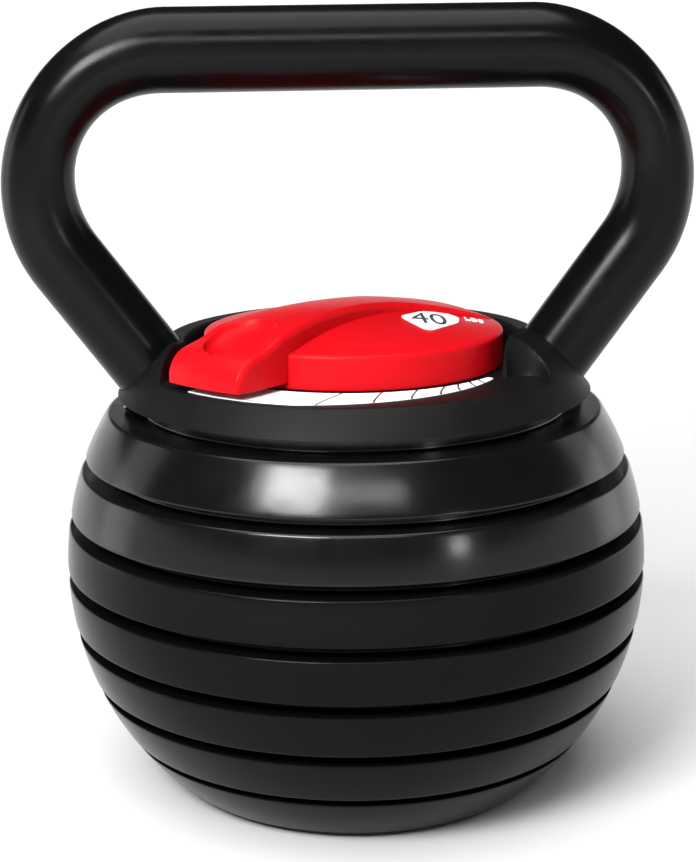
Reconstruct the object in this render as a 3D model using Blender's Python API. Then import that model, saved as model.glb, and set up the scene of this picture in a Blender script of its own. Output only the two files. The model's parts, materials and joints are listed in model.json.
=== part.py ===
"""An adjustable dial kettlebell standing on its foot, all of it at rest and at its real size.

A ball 220 mm across is built as a stack: a head casting with a tube handle and a moulded cover, and six
loose iron plates under it. A dial in the top of the cover turns a hexagonal shaft that hangs through
the plates. The shaft carries one steel cam for each plate. Each cam has two tabs that sit under the
plate's lip. The lip has two notches, and they are wider on every lower plate. With the dial at zero all
tabs stand in the notches and only the head lifts. Each step of the dial brings one more plate's tabs
under solid iron, from the top plate down.

Lengths are written in millimetres and turned into metres where vertices are made. X runs along the
handle, Y across it and Z up. The origin is on the ball's axis, on the floor.
"""

import math

import bmesh
import bpy
from mathutils import Matrix, Vector

MM = 0.001
TOUCH = 0.3  # air left between two pieces that touch

# The ball
BALL_RADIUS = 110.0
BALL_HEIGHT = 86.0  # the ball's centre above the floor
SKIN = 0.8  # how far the iron rings stay inside the ball's sphere

# The stack of rings: number 0 belongs to the head casting, 1 to 6 are the loose plates
PLATE_COUNT = 6
PITCH = 20.8
HEAD_BOTTOM = 127.5
GROOVES = (4.4, 4.4, 4.4, 4.4, 3.8, 2.6)  # height of the groove above plates 1 to 6
GROOVE_DEPTH = 8.0
PLATE_MASS = 2.27  # kg, 5 lb
IRON = 7.2e-6  # kg per cubic millimetre
CORE_RIM = 8.0  # a plate's rim is this much wider than the neck it rests on

# The rubber foot
FOOT_RADIUS = 67.5
FOOT_HEIGHT = 2.4
FOOT_BORE = 28.0

# The lock inside each plate
LIP_BORE = 15.0
LIP_THICKNESS = 6.0
LOCK_ROOM = 24.0
HUB_WALL = 30.0
NOTCH_RADIUS = 22.3

# The selector
DIAL_STEP = 13.5
TAB_HALF_ANGLE = 5.75
NOTCH_MARGIN = 1.0
CAM_HUB = 13.0
CAM_TIP = 21.5
CAM_THICKNESS = 5.0
CAM_DROP = 0.5  # air between a lip and the cam under it
HEX_FLATS = 12.0
HEX_ROOM = 12.6
SHAFT_BOTTOM = 3.6
SHAFT_TOP = 165.5

# The head casting
CASTING_TOP = 144.8
NECK_TOP = 150.9
NECK_OUTER = 79.0
NECK_INNER = 73.0
HEAD_CORE_HEIGHT = 8.0
BUSH_BORE = 17.0
BOSS_TOP = 157.2
BOSS_RADIUS = 17.8
BOSS_REACH = 104.0  # the bosses stay inside a sphere of this radius
POST_CIRCLE = 44.0
POST_RADIUS = 6.0

# The handle, a bent tube in the plane y = 0
GRIP_HEIGHT = 275.6  # centreline of the straight grip
GRIP_HALF = 66.5
BEND_RADIUS = 47.2
LEG_LEAN = 36.4  # degrees from the vertical
LEG_END = 72.5  # length of a leg below its bend
GRIP_RADIUS = 15.2
BEND_SQUEEZE = 12.8  # a bent tube is flatter in the plane of the bend
LEG_RADIUS = 14.4
TUBE_WALL = 3.0

# The cover and its pocket
COVER_BOTTOM = 151.2
COVER_SKIN = 0.5
COVER_WALL = 3.5
COVER_LEDGE = 3.0
POCKET_FLOOR = 160.5
POCKET_RADIUS = 61.5
POCKET_WALL = 2.2
POCKET_REACH = 100.0
LEFT_WALL = ((-64.6, -12.0), (-66.9, -18.0), (-69.0, -23.0), (-70.0, -29.0), (-72.0, -35.0), (-73.0, -46.0))
LEFT_WALL_START = 187.0  # degrees from +X, where the front opening leaves the round well
OPENING_END = 323.2
OPENING_END_CENTRE = 71.7
OPENING_END_RADIUS = 7.5  # the front opening's right end is round
COVER_TOP = 170.7  # the rim behind the dial is cut level at this height
POCKET_SHELL_OPENING = (190.0, 331.0)  # the wall under the front opening reaches past it
EAR_END = 344.0  # degrees from +X: the rim keeps the ball's surface from the opening up to here
DIAL_HOLE = 14.0

# The dial and its grip
DIAL_RADIUS = 55.6
DIAL_BOTTOM = 160.8
DIAL_TOP = 173.1
DIAL_WALL = 3.0
DIAL_DOME = 6.4  # rise of the disc's crown above its rim
DIAL_REST = 223.4  # direction of the grip's nose at rest
GRIP_BASE = 171.0  # the grip's blank starts under the dome that is cut from it
GRIP_APEX = 184.4
GRIP_APEX_AT = 20.0
GRIP_BACK = -52.0
GRIP_FRONT = 78.4
GRIP_REACH = 54.4  # the grip's back end follows a circle of this radius
GRIP_EDGE = 0.5  # least height of the grip's edge over the dome
GRIP_WAIST = 11.0  # half-width at the axis
FRONT_FLARE = 0.0022  # growth of the half-width with the square of the distance from the axis
BACK_FLARE = 0.011
NOSE_FLARE_START = 45.0
NOSE_FLARE = 3.07
NOSE_FLARE_RUN = 15.5
CROWN = 0.004  # fall to the sides with the square of the distance from the crest
FRONT_FALL = 0.0026  # fall of the crest with the square of the distance from its apex
BACK_FALL = 0.00165
BACK_BEND = -42.0
END_FALL = 0.025
NOSE_START = 50.0
NOSE_BOTTOM = 163.3
NOSE_GAP = 0.5
GRIP_SCREWS = ((-30.0, 178.8), (34.0, 180.6))  # place along the grip and top
DISH_AT = (57.0, 182.2)
DISH_SIZE = (16.0, 10.2, 6.6)
DISH_TILT = 11.0
BADGE = ((16.0, -11.6), (26.5, 2.0), (36.0, 1.0), (39.0, -5.0), (37.5, -14.0), (26.0, -28.5), (22.5, -27.0))

# The detent
HUB_FLANGE = 24.0
DETENT_HEIGHT = 150.2
DETENT_NOTCH = 2.6
PLUNGER_RADIUS = 2.2

STEPS = 36
SMALL_STEPS = 20
ARC_STEPS = 2


def material(name, colour, roughness, metallic=0.0):
    made = bpy.data.materials.new(name)
    made.use_nodes = True
    shader = made.node_tree.nodes["Principled BSDF"]
    shader.inputs["Base Color"].default_value = (*colour, 1.0)
    shader.inputs["Roughness"].default_value = roughness
    shader.inputs["Metallic"].default_value = metallic
    made.diffuse_color = (*colour, 1.0)
    return made


def new_object(name, mesh, finish):
    """Closes a bmesh in millimetres into an object in metres, faces out and shaded smooth."""
    bmesh.ops.recalc_face_normals(mesh, faces=mesh.faces)
    bmesh.ops.scale(mesh, vec=(MM, MM, MM), verts=mesh.verts)
    data = bpy.data.meshes.new(name)
    mesh.to_mesh(data)
    mesh.free()
    data.shade_smooth()
    data.set_sharp_from_angle(angle=math.radians(35))
    made = bpy.data.objects.new(name, data)
    made.data.materials.append(finish)
    bpy.context.scene.collection.objects.link(made)
    return made


def polar(radius, degrees, height=0.0):
    angle = math.radians(degrees)
    return Vector((radius * math.cos(angle), radius * math.sin(angle), height))


def arc(radius, first, last, steps, centre=(0.0, 0.0)):
    """Points of a round stretch, as (x, y) pairs."""
    points = []
    for i in range(steps + 1):
        point = polar(radius, first + (last - first) * i / steps)
        points.append((centre[0] + point.x, centre[1] + point.y))
    return points


def ring_of(mesh, points):
    return [mesh.verts.new(point) for point in points]


def bridge(mesh, lower, upper):
    """Joins two loops of vertices. A loop of one vertex is a pole."""
    count = max(len(lower), len(upper))
    for i in range(count):
        j = (i + 1) % count
        corners = [
            lower[i % len(lower)],
            lower[j % len(lower)],
            upper[j % len(upper)],
            upper[i % len(upper)],
        ]
        mesh.faces.new(list(dict.fromkeys(corners)))


def turned(name, outline, finish, steps=STEPS):
    """A solid turned about Z from a closed outline of (radius, height) points."""
    mesh = bmesh.new()
    rings = []
    for radius, height in outline:
        if radius > 0:
            points = [polar(radius, 360 * i / steps, height) for i in range(steps)]
        else:
            points = [Vector((0.0, 0.0, height))]
        rings.append(ring_of(mesh, points))
    for lower, upper in zip(rings, rings[1:] + rings[:1]):
        if len(lower) > 1 or len(upper) > 1:
            bridge(mesh, lower, upper)
    return new_object(name, mesh, finish)


def prism(name, outline, bottom, top, finish):
    """A solid with a straight wall along an outline of (x, y) points."""
    mesh = bmesh.new()
    lower = ring_of(mesh, [(x, y, bottom) for x, y in outline])
    upper = ring_of(mesh, [(x, y, top) for x, y in outline])
    bridge(mesh, lower, upper)
    mesh.faces.new(lower)
    mesh.faces.new(upper)
    return new_object(name, mesh, finish)


def lofted(name, sections, finish):
    """A solid through closed sections that all have the same number of points."""
    mesh = bmesh.new()
    rings = [ring_of(mesh, section) for section in sections]
    for lower, upper in zip(rings, rings[1:]):
        bridge(mesh, lower, upper)
    mesh.faces.new(rings[0])
    mesh.faces.new(rings[-1])
    return new_object(name, mesh, finish)


def placed(made, matrix):
    """Moves an object's mesh, so that its numbers stay world coordinates."""
    made.data.transform(matrix)
    return made


def along(start, end):
    """The matrix that takes a piece turned about Z, in metres, to the line from start to end."""
    turn = (end - start).to_track_quat("Z", "Y").to_matrix().to_4x4()
    return Matrix.Translation(start * MM) @ turn


def boolean(made, other, operation, solver="EXACT"):
    modifier = made.modifiers.new(operation.lower(), "BOOLEAN")
    modifier.object = other
    modifier.operation = operation
    modifier.solver = solver
    other.hide_render = True
    other.display_type = "WIRE"


def cut(made, *cutters):
    for cutter in cutters:
        boolean(made, cutter, "DIFFERENCE")


def cut_manifold(made, *cutters):
    """For a solid with many holes in one flat face, which the exact solver tears."""
    for cutter in cutters:
        boolean(made, cutter, "DIFFERENCE", "MANIFOLD")


def join(made, *others):
    for other in others:
        boolean(made, other, "UNION")


def keep_inside(made, other):
    boolean(made, other, "INTERSECT")


def move_origin(made, point):
    """Puts the object's origin on its joint's axis and leaves the solid where it is."""
    offset = Vector(point) * MM
    made.data.transform(Matrix.Translation(-offset))
    made.location = offset


def clear_scene():
    for made in list(bpy.data.objects):
        bpy.data.objects.remove(made, do_unlink=True)


def ring_bottom(number):
    return HEAD_BOTTOM - PITCH * number


def ring_top(number):
    if number == 0:
        return CASTING_TOP
    return ring_bottom(number - 1) - GROOVES[number - 1]


def sphere_radius(height, skin=SKIN):
    return math.sqrt(BALL_RADIUS**2 - (height - BALL_HEIGHT) ** 2) - skin


def sphere_band(bottom, top, skin=SKIN, steps=ARC_STEPS):
    """Outline points up the ball's side."""
    points = []
    for i in range(steps + 1):
        height = bottom + (top - bottom) * i / steps
        points.append((sphere_radius(height, skin), height))
    return points


def neck_radius(number):
    """The bottom of the groove between a plate and the ring above it."""
    return min(sphere_radius(ring_bottom(number - 1)), sphere_radius(ring_top(number))) - GROOVE_DEPTH


def neck_top(number):
    return ring_bottom(number - 1) - TOUCH


def core_radius(number):
    """A plate's core leaves a rim that rests on the neck of the plate below, or on the foot."""
    below = FOOT_RADIUS if number == PLATE_COUNT else neck_radius(number + 1)
    return below - CORE_RIM


def core_ceiling(number):
    """The core's height that leaves the plate with its mass."""
    bottom = ring_bottom(number)
    top = ring_top(number)
    band = sphere_band(bottom, top, steps=16)
    slice_height = (top - bottom) / 16
    iron = sum(math.pi * radius**2 * slice_height for radius, _ in band[:-1])
    iron += math.pi * neck_radius(number) ** 2 * (neck_top(number) - top)
    iron -= math.pi * LOCK_ROOM**2 * (neck_top(number) - LIP_THICKNESS - bottom)
    iron -= math.pi * LIP_BORE**2 * LIP_THICKNESS
    core_area = math.pi * (core_radius(number) ** 2 - HUB_WALL**2)
    return bottom + (iron - PLATE_MASS / IRON) / core_area


def sector(name, radius, first, last, bottom, top, finish, steps=12):
    return prism(name, [(0.0, 0.0)] + arc(radius, first, last, steps), bottom, top, finish)


def hexagon(flats):
    return arc(flats / math.sqrt(3), 0, 300, 5)


def weight_plate(number, iron):
    name = f"weight_plate_{number}"
    bottom = ring_bottom(number)
    top = neck_top(number)
    outline = sphere_band(bottom, ring_top(number))
    outline += [
        (neck_radius(number), ring_top(number)),
        (neck_radius(number), top),
        (LIP_BORE, top),
        (LIP_BORE, top - LIP_THICKNESS),
        (LOCK_ROOM, top - LIP_THICKNESS),
        (LOCK_ROOM, bottom),
        (HUB_WALL, bottom),
        (HUB_WALL, core_ceiling(number)),
        (core_radius(number), core_ceiling(number)),
        (core_radius(number), bottom),
    ]
    plate = turned(name, outline, iron)
    reach = TAB_HALF_ANGLE + NOTCH_MARGIN
    last = DIAL_STEP * (number - 1) + reach
    for side in (0, 180):
        notch = sector(
            f"{name}_notch_{side}",
            NOTCH_RADIUS,
            side - reach,
            side + last,
            top - LIP_THICKNESS - 1,
            top + 1,
            iron,
            steps=2 + number,
        )
        cut(plate, notch)


def cam_top(number):
    return neck_top(number) - LIP_THICKNESS - CAM_DROP


def selector_cam(number, steel):
    outline = []
    for side in (0, 180):
        first = side - TAB_HALF_ANGLE
        last = side + TAB_HALF_ANGLE
        outline += arc(CAM_HUB, first, first, 1)[:1]
        outline += arc(CAM_TIP, first, last, 2)
        outline += arc(CAM_HUB, last, side + 180 - TAB_HALF_ANGLE, 8)[:-1]
    top = cam_top(number)
    cam = prism(f"selector_cam_{number}", outline, top - CAM_THICKNESS, top, steel)
    cut(cam, prism(f"cam_bore_{number}", hexagon(HEX_ROOM), top - 10, top + 5, steel))


def washer(name, inner, outer, bottom, top, finish, steps=SMALL_STEPS):
    outline = [(outer, bottom), (outer, top), (inner, top), (inner, bottom)]
    return turned(name, outline, finish, steps)


def selector(steel, zinc):
    """The hexagonal shaft with its cams, the tubes that space them and the nut that holds them."""
    shaft = prism("selector_shaft", hexagon(HEX_FLATS), SHAFT_BOTTOM, SHAFT_TOP, steel)
    cut(shaft, turned("shaft_thread", [(0, 154), (2.8, 154), (2.8, 170), (0, 170)], steel, 12))
    above = HEAD_BOTTOM + TOUCH
    for number in range(1, PLATE_COUNT + 1):
        top = cam_top(number)
        washer(f"cam_spacer_{number}", 7.4, 11.0, top + TOUCH, above - TOUCH, zinc, 16)
        selector_cam(number, steel)
        above = top - CAM_THICKNESS
    washer("shaft_washer", 7.4, 11.0, above - TOUCH - 1.2, above - TOUCH, zinc, 16)
    nut_top = above - 2 * TOUCH - 1.2
    nut = prism("shaft_nut", hexagon(18.0), nut_top - 5.5, nut_top, zinc)
    cut(nut, turned("nut_thread", [(0, 0), (7.3, 0), (7.3, 12), (0, 12)], zinc, 16))


def leg_point(side, distance):
    """A point on a leg's centreline, this far below the end of its bend."""
    lean = math.radians(LEG_LEAN)
    bend_end = Vector((GRIP_HALF + BEND_RADIUS * math.cos(lean), 0.0, GRIP_HEIGHT - BEND_RADIUS))
    bend_end.z -= BEND_RADIUS * math.sin(lean)
    point = bend_end + distance * Vector((-math.sin(lean), 0.0, -math.cos(lean)))
    point.x *= side
    return point


def leg_cylinder(name, side, radius, first, last, finish, steps=SMALL_STEPS):
    """A round solid on a leg's axis between two distances below the bend."""
    start = leg_point(side, first)
    end = leg_point(side, last)
    length = (end - start).length
    outline = [(0, 0), (radius, 0), (radius, length), (0, length)]
    return placed(turned(name, outline, finish, steps), along(start, end))


def handle_stations():
    """Centre, in-plane direction across the tube, and the tube's radii in and out of the plane."""
    stations = []
    turn = 90 + LEG_LEAN
    bend_steps = 10
    half = [(Vector((0.0, 0.0, GRIP_HEIGHT)), 90.0, GRIP_RADIUS, GRIP_RADIUS)]
    half.append((Vector((GRIP_HALF - 12, 0.0, GRIP_HEIGHT)), 90.0, GRIP_RADIUS, GRIP_RADIUS))
    for i in range(bend_steps + 1):
        share = i / bend_steps
        angle = 90 - turn * share
        centre = Vector((GRIP_HALF, 0.0, GRIP_HEIGHT - BEND_RADIUS))
        centre += BEND_RADIUS * Vector((math.cos(math.radians(angle)), 0.0, math.sin(math.radians(angle))))
        across = GRIP_RADIUS + (LEG_RADIUS - GRIP_RADIUS) * share
        squeeze = (across - BEND_SQUEEZE) * math.sin(math.pi * share)
        half.append((centre, angle, across - squeeze, across))
    half.append((leg_point(1, LEG_END), -LEG_LEAN, LEG_RADIUS, LEG_RADIUS))
    for centre, angle, in_plane, across in reversed(half[1:]):
        stations.append((Vector((-centre.x, 0.0, centre.z)), 180 - angle, in_plane, across))
    return stations + half


def tube_section(station, wall, steps=16):
    centre, angle, in_plane, across = station
    outward = Vector((math.cos(math.radians(angle)), 0.0, math.sin(math.radians(angle))))
    points = []
    for i in range(steps):
        turn = 2 * math.pi * i / steps
        point = centre + (in_plane - wall) * math.cos(turn) * outward
        points.append(point + Vector((0.0, (across - wall) * math.sin(turn), 0.0)))
    return points


def handle(paint, steel, zinc):
    stations = handle_stations()
    mesh = bmesh.new()
    outer = [ring_of(mesh, tube_section(station, 0.0)) for station in stations]
    inner = [ring_of(mesh, tube_section(station, TUBE_WALL)) for station in stations]
    loop = outer + inner[::-1]
    for first, second in zip(loop, loop[1:] + loop[:1]):
        bridge(mesh, first, second)
    tube = new_object("handle_tube", mesh, paint)
    relief = POCKET_RADIUS + POCKET_WALL + 0.5
    cut(tube, turned("leg_relief", [(0, 140), (relief, 140), (relief, 176), (0, 176)], paint))
    for label, side in (("left", -1), ("right", 1)):
        plug = leg_cylinder(f"leg_plug_{label}", side, 10.9, LEG_END - 8, LEG_END, steel)
        cut(plug, leg_cylinder(f"plug_thread_{label}", side, 4.3, LEG_END - 20, LEG_END + 5, steel, 12))
        shank = leg_cylinder(f"handle_bolt_{label}", side, 4.0, LEG_END - 7, LEG_END + 6, zinc, 12)
        join(shank, leg_cylinder(f"bolt_head_{label}", side, 6.5, LEG_END + 4.9, LEG_END + 10, zinc, 6))


def boss(name, side, radius, reach, top, finish):
    """The socket wall round a leg, kept inside the ball and under the cover's floor."""
    made = leg_cylinder(name, side, radius, 45.0, LEG_END + 4.6, finish)
    band = sphere_band(HEAD_BOTTOM + 2, top, BALL_RADIUS - reach)
    keep_inside(made, turned(name + "_limit", [(0, HEAD_BOTTOM + 2)] + band + [(0, top)], finish))
    return made


def post_places():
    return [(45 + 90 * i, polar(POST_CIRCLE, 45 + 90 * i)) for i in range(4)]


def head_casting(iron):
    core = neck_radius(1) - CORE_RIM
    ceiling = HEAD_BOTTOM + HEAD_CORE_HEIGHT
    outline = sphere_band(HEAD_BOTTOM, CASTING_TOP)
    outline += [
        (NECK_OUTER, CASTING_TOP),
        (NECK_OUTER, NECK_TOP),
        (NECK_INNER, NECK_TOP),
        (NECK_INNER, CASTING_TOP),
        (BUSH_BORE, CASTING_TOP),
        (BUSH_BORE, HEAD_BOTTOM),
        (HUB_WALL, HEAD_BOTTOM),
        (HUB_WALL, ceiling),
        (core, ceiling),
        (core, HEAD_BOTTOM),
    ]
    casting = turned("head_casting", outline, iron)
    for label, side in (("left", -1), ("right", 1)):
        join(casting, boss(f"boss_{label}", side, BOSS_RADIUS, BOSS_REACH, BOSS_TOP, iron))
    for side in (-1, 1):
        socket = leg_cylinder("socket", side, LEG_RADIUS + TOUCH, 30.0, LEG_END + TOUCH, iron)
        cut(casting, socket)
        cut(casting, leg_cylinder("bolt_hole", side, 4.4, LEG_END - 5, LEG_END + 20, iron, 12))
        cut(casting, leg_cylinder("bolt_room", side, 8.0, LEG_END + 4.6, LEG_END + 30, iron))
    for angle, place in post_places():
        post = [(0, CASTING_TOP - 1), (POST_RADIUS, CASTING_TOP - 1), (POST_RADIUS, BOSS_TOP), (0, BOSS_TOP)]
        hole = [(0, 147), (2.0, 147), (2.0, 160), (0, 160)]
        shift = Matrix.Translation(place * MM)
        join(casting, placed(turned(f"post_{angle}", post, iron, 16), shift))
        cut(casting, placed(turned(f"post_hole_{angle}", hole, iron, 12), shift))
    block = prism("detent_block", [(-7, 28), (7, 28), (7, 44), (-7, 44)], CASTING_TOP - 1, 156.0, iron)
    join(casting, block)
    bore_radius = PLUNGER_RADIUS + TOUCH
    bore = turned("detent_bore", [(0, 0), (bore_radius, 0), (bore_radius, 30), (0, 30)], iron, 16)
    middle = Vector((0.0, 20.0, DETENT_HEIGHT))
    cut(casting, placed(bore, along(middle, middle + Vector((0.0, 30.0, 0.0)))))


def drive(steel, brass, zinc, spring_steel):
    """The hub that carries the shaft in the casting, its bush and ring, and the detent."""
    outline = [
        (12.7, 130.2),
        (12.7, 147.4),
        (HUB_FLANGE, 147.4),
        (HUB_FLANGE, 153.0),
        (5.0, 153.0),
        (5.0, HEAD_BOTTOM + TOUCH),
        (12.7, HEAD_BOTTOM + TOUCH),
        (12.7, 128.2),
        (11.6, 128.2),
        (11.6, 130.2),
    ]
    hub = turned("drive_hub", outline, steel)
    cut(hub, prism("hub_bore", hexagon(HEX_ROOM), 120, 160, steel))
    for setting in range(PLATE_COUNT + 1):
        notch = [(0, 145), (DETENT_NOTCH, 145), (DETENT_NOTCH, 155), (0, 155)]
        place = polar(HUB_FLANGE + 1.6, 90 - DIAL_STEP * setting)
        cutter = turned(f"detent_notch_{setting}", notch, steel, 9)
        cut(hub, placed(cutter, Matrix.Translation(place * MM)))
    bush = [
        (13.0, 130.5),
        (16.7, 130.5),
        (16.7, 145.1),
        (21.0, 145.1),
        (21.0, 147.1),
        (13.0, 147.1),
    ]
    turned("hub_bush", bush, brass, 32)
    washer("retaining_ring", 11.9, 15.6, 128.5, 129.9, spring_steel, 32)

    front = Vector((0.0, HUB_FLANGE + 0.4, DETENT_HEIGHT))
    back = Vector((0.0, 44.0, DETENT_HEIGHT))
    nose = [(0, 0), (1.2, 0.3), (PLUNGER_RADIUS, 1.6), (PLUNGER_RADIUS, 9.0), (0, 9.0)]
    plunger = placed(turned("detent_plunger", nose, steel, 16), along(front, back))
    move_origin(plunger, front)
    spring_start = front.y + 9.0 + TOUCH
    detent_spring(spring_start, 40.8, spring_steel)
    screw = [(0, 0), (PLUNGER_RADIUS, 0), (PLUNGER_RADIUS, 2.7), (0, 2.7)]
    seat = Vector((0.0, 41.1, DETENT_HEIGHT))
    placed(turned("detent_screw", screw, zinc, 12), along(seat, back))


def detent_spring(start, end, finish):
    """A coil spring along Y: rings of a helix, closed at both ends."""
    turns = 4
    per_turn = 12
    wire = 0.35
    radius = 1.7
    steps = turns * per_turn
    sections = []
    for i in range(steps + 1):
        turn = 2 * math.pi * i / per_turn
        outward = Vector((math.cos(turn), 0.0, math.sin(turn)))
        middle = start + wire + (end - start - 2 * wire) * i / steps
        centre = Vector((0.0, middle, DETENT_HEIGHT)) + radius * outward
        section = []
        for j in range(6):
            around = 2 * math.pi * j / 6
            point = centre + wire * math.cos(around) * outward
            section.append(point + Vector((0.0, wire * math.sin(around), 0.0)))
        sections.append(section)
    lofted("detent_spring", sections, finish)


def pocket_outline():
    """The front opening in plan: its slanted left wall, its open front and its round right end."""
    centre = polar(OPENING_END_CENTRE, OPENING_END)
    start = polar(POCKET_RADIUS - 1.0, LEFT_WALL_START)
    points = [(0.0, 0.0), (start.x, start.y)]
    points += LEFT_WALL
    points += arc(POCKET_REACH, 218.0, OPENING_END, 12)
    points += arc(OPENING_END_RADIUS, OPENING_END, OPENING_END + 180, 10, (centre.x, centre.y))
    return points


def pocket(name, wall, depth, finish):
    """The room that the dial and its nose turn in: a round well, open at the front."""
    floor = POCKET_FLOOR - depth
    radius = POCKET_RADIUS + wall
    well = turned(name, [(0, floor), (radius, floor), (radius, 200), (0, 200)], finish)
    if wall == 0:
        join(well, prism(f"{name}_front", pocket_outline(), floor, 200, finish))
        return well
    spread = math.degrees(wall / POCKET_RADIUS)
    first, last = POCKET_SHELL_OPENING
    join(well, sector(f"{name}_front", POCKET_REACH, first - spread, last + spread, floor, 200, finish))
    return well


def top_cover(plastic, zinc):
    top = 185.0
    band = sphere_band(COVER_BOTTOM, top, COVER_SKIN, 4)
    cover = turned("top_cover", [(DIAL_HOLE, COVER_BOTTOM)] + band + [(DIAL_HOLE, top)], plastic)
    cut_manifold(cover, pocket("pocket", 0.0, 0.0, plastic))
    cut_manifold(cover, sector("rim_level", POCKET_REACH, EAR_END, 560, COVER_TOP, 200, plastic, 40))

    ledge_top = COVER_BOTTOM + COVER_LEDGE
    band = sphere_band(ledge_top, top - COVER_WALL, COVER_SKIN + COVER_WALL, 4)
    ledge = [(0, COVER_BOTTOM - 5), (76, COVER_BOTTOM - 5), (76, ledge_top)]
    hollow = turned("cover_hollow", ledge + band + [(0, top - COVER_WALL)], plastic)
    cut(hollow, pocket("pocket_shell", POCKET_WALL, POCKET_WALL + 0.8, plastic))
    cut_manifold(cover, hollow)

    for label, side in (("left", -1), ("right", 1)):
        leg_hole = leg_cylinder(f"leg_hole_{label}", side, LEG_RADIUS + 0.4, 0.0, LEG_END, plastic)
        inside = POCKET_RADIUS + POCKET_WALL + 0.2
        cut(leg_hole, turned(f"well_wall_{label}", [(0, 100), (inside, 100), (inside, 220), (0, 220)], plastic))
        cut_manifold(cover, leg_hole)
        reach = BOSS_REACH + 0.4
        cut_manifold(cover, boss(f"boss_room_{label}", side, BOSS_RADIUS + 0.4, reach, BOSS_TOP + 0.3, plastic))
    for angle, place in post_places():
        shift = Matrix.Translation(place * MM)
        hole = [(0, 150), (2.3, 150), (2.3, 158.6), (4.4, POCKET_FLOOR + 0.1), (4.4, 165), (0, 165)]
        cut_manifold(cover, placed(turned(f"cover_hole_{angle}", hole, plastic, 16), shift))
        screw = [(0, 148), (1.7, 148), (1.7, 158.6), (3.8, POCKET_FLOOR - 0.1), (0, POCKET_FLOOR - 0.1)]
        number = (angle + 45) // 90
        placed(turned(f"cover_screw_{number}", screw, zinc, 12), shift)


def scale_outer_radius(degrees):
    return min(78.5, 76.7 - 0.239 * (degrees - 255))


def weight_scale(white):
    """The printed scale on the pocket's floor. It narrows towards its light end."""
    first, last = 216.0, 319.5
    outer = []
    steps = 24
    for i in range(steps + 1):
        degrees = first + (last - first) * i / steps
        point = polar(scale_outer_radius(degrees), degrees)
        outer.append((point.x, point.y))
    inner = arc(58.5, last, first, steps)
    bottom = POCKET_FLOOR + TOUCH
    prism("weight_scale", outer + inner, bottom, bottom + 0.3, white)


def dial_top_at(radius):
    """The height of the disc's domed face."""
    return DIAL_TOP + DIAL_DOME * (1 - (radius / DIAL_RADIUS) ** 2)


def dome(first, last, lift, steps=4):
    """Outline points along the domed face, moved up by lift."""
    points = []
    for i in range(steps + 1):
        radius = first + (last - first) * i / steps
        points.append((radius, dial_top_at(radius) + lift))
    return points


def grip_half_width(along_grip):
    """The waist is at the axis. The nose widens gently and the back end follows the disc."""
    if along_grip > NOSE_FLARE_START:
        flare = GRIP_WAIST + FRONT_FLARE * NOSE_FLARE_START**2
        return flare + NOSE_FLARE * (1 - math.exp((NOSE_FLARE_START - along_grip) / NOSE_FLARE_RUN))
    if along_grip > 0:
        return GRIP_WAIST + FRONT_FLARE * along_grip**2
    return min(GRIP_WAIST + BACK_FLARE * along_grip**2, math.sqrt(GRIP_REACH**2 - along_grip**2))


def grip_top(along_grip):
    """The crest falls in a curve to the nose and in a flatter one to the back."""
    fall = FRONT_FALL if along_grip > GRIP_APEX_AT else BACK_FALL
    end = END_FALL * max(0.0, BACK_BEND - along_grip) ** 2
    return GRIP_APEX - fall * (along_grip - GRIP_APEX_AT) ** 2 - end


def grip_section(along_grip, base, half_width, top):
    """One section across the grip: straight sides under a crowned top."""
    radius = min(DIAL_RADIUS, math.hypot(along_grip, half_width))
    least = dial_top_at(radius) + TOUCH + GRIP_EDGE
    shoulder_at = half_width - 2.4
    edge = top - CROWN * half_width**2
    side = max(least, edge - 3.2)
    shoulder = max(side + 0.1, edge - 0.4)
    quarter = max(shoulder + 0.1, top - CROWN * (half_width / 2) ** 2)
    top = max(top, quarter + 0.1)
    return [
        Vector((along_grip, -half_width, base)),
        Vector((along_grip, half_width, base)),
        Vector((along_grip, half_width, side)),
        Vector((along_grip, shoulder_at, shoulder)),
        Vector((along_grip, half_width / 2, quarter)),
        Vector((along_grip, 0.0, top)),
        Vector((along_grip, -half_width / 2, quarter)),
        Vector((along_grip, -shoulder_at, shoulder)),
        Vector((along_grip, -half_width, side)),
    ]


def grip_sections():
    """Sections from the flared back end to the nose, which hangs over the disc's rim."""
    stations = [GRIP_BACK, -49, -45, -38, -28, -16, -4, 8, 20, 30, 37, 43, NOSE_START]
    sections = [grip_section(s, GRIP_BASE, grip_half_width(s), grip_top(s)) for s in stations]
    nose = [(NOSE_START + 0.01, 0.0, 0.0), (57.0, 0.0, 0.0), (64.0, 0.0, 0.0), (70.0, 0.0, 0.1)]
    nose += [(74.0, 0.0, 1.0), (77.0, 0.4, 3.2), (GRIP_FRONT, 1.2, 6.8)]
    for along_grip, inset, drop in nose:
        half_width = grip_half_width(along_grip) - inset
        sections.append(grip_section(along_grip, NOSE_BOTTOM, half_width, grip_top(along_grip) - drop))
    return sections


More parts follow.
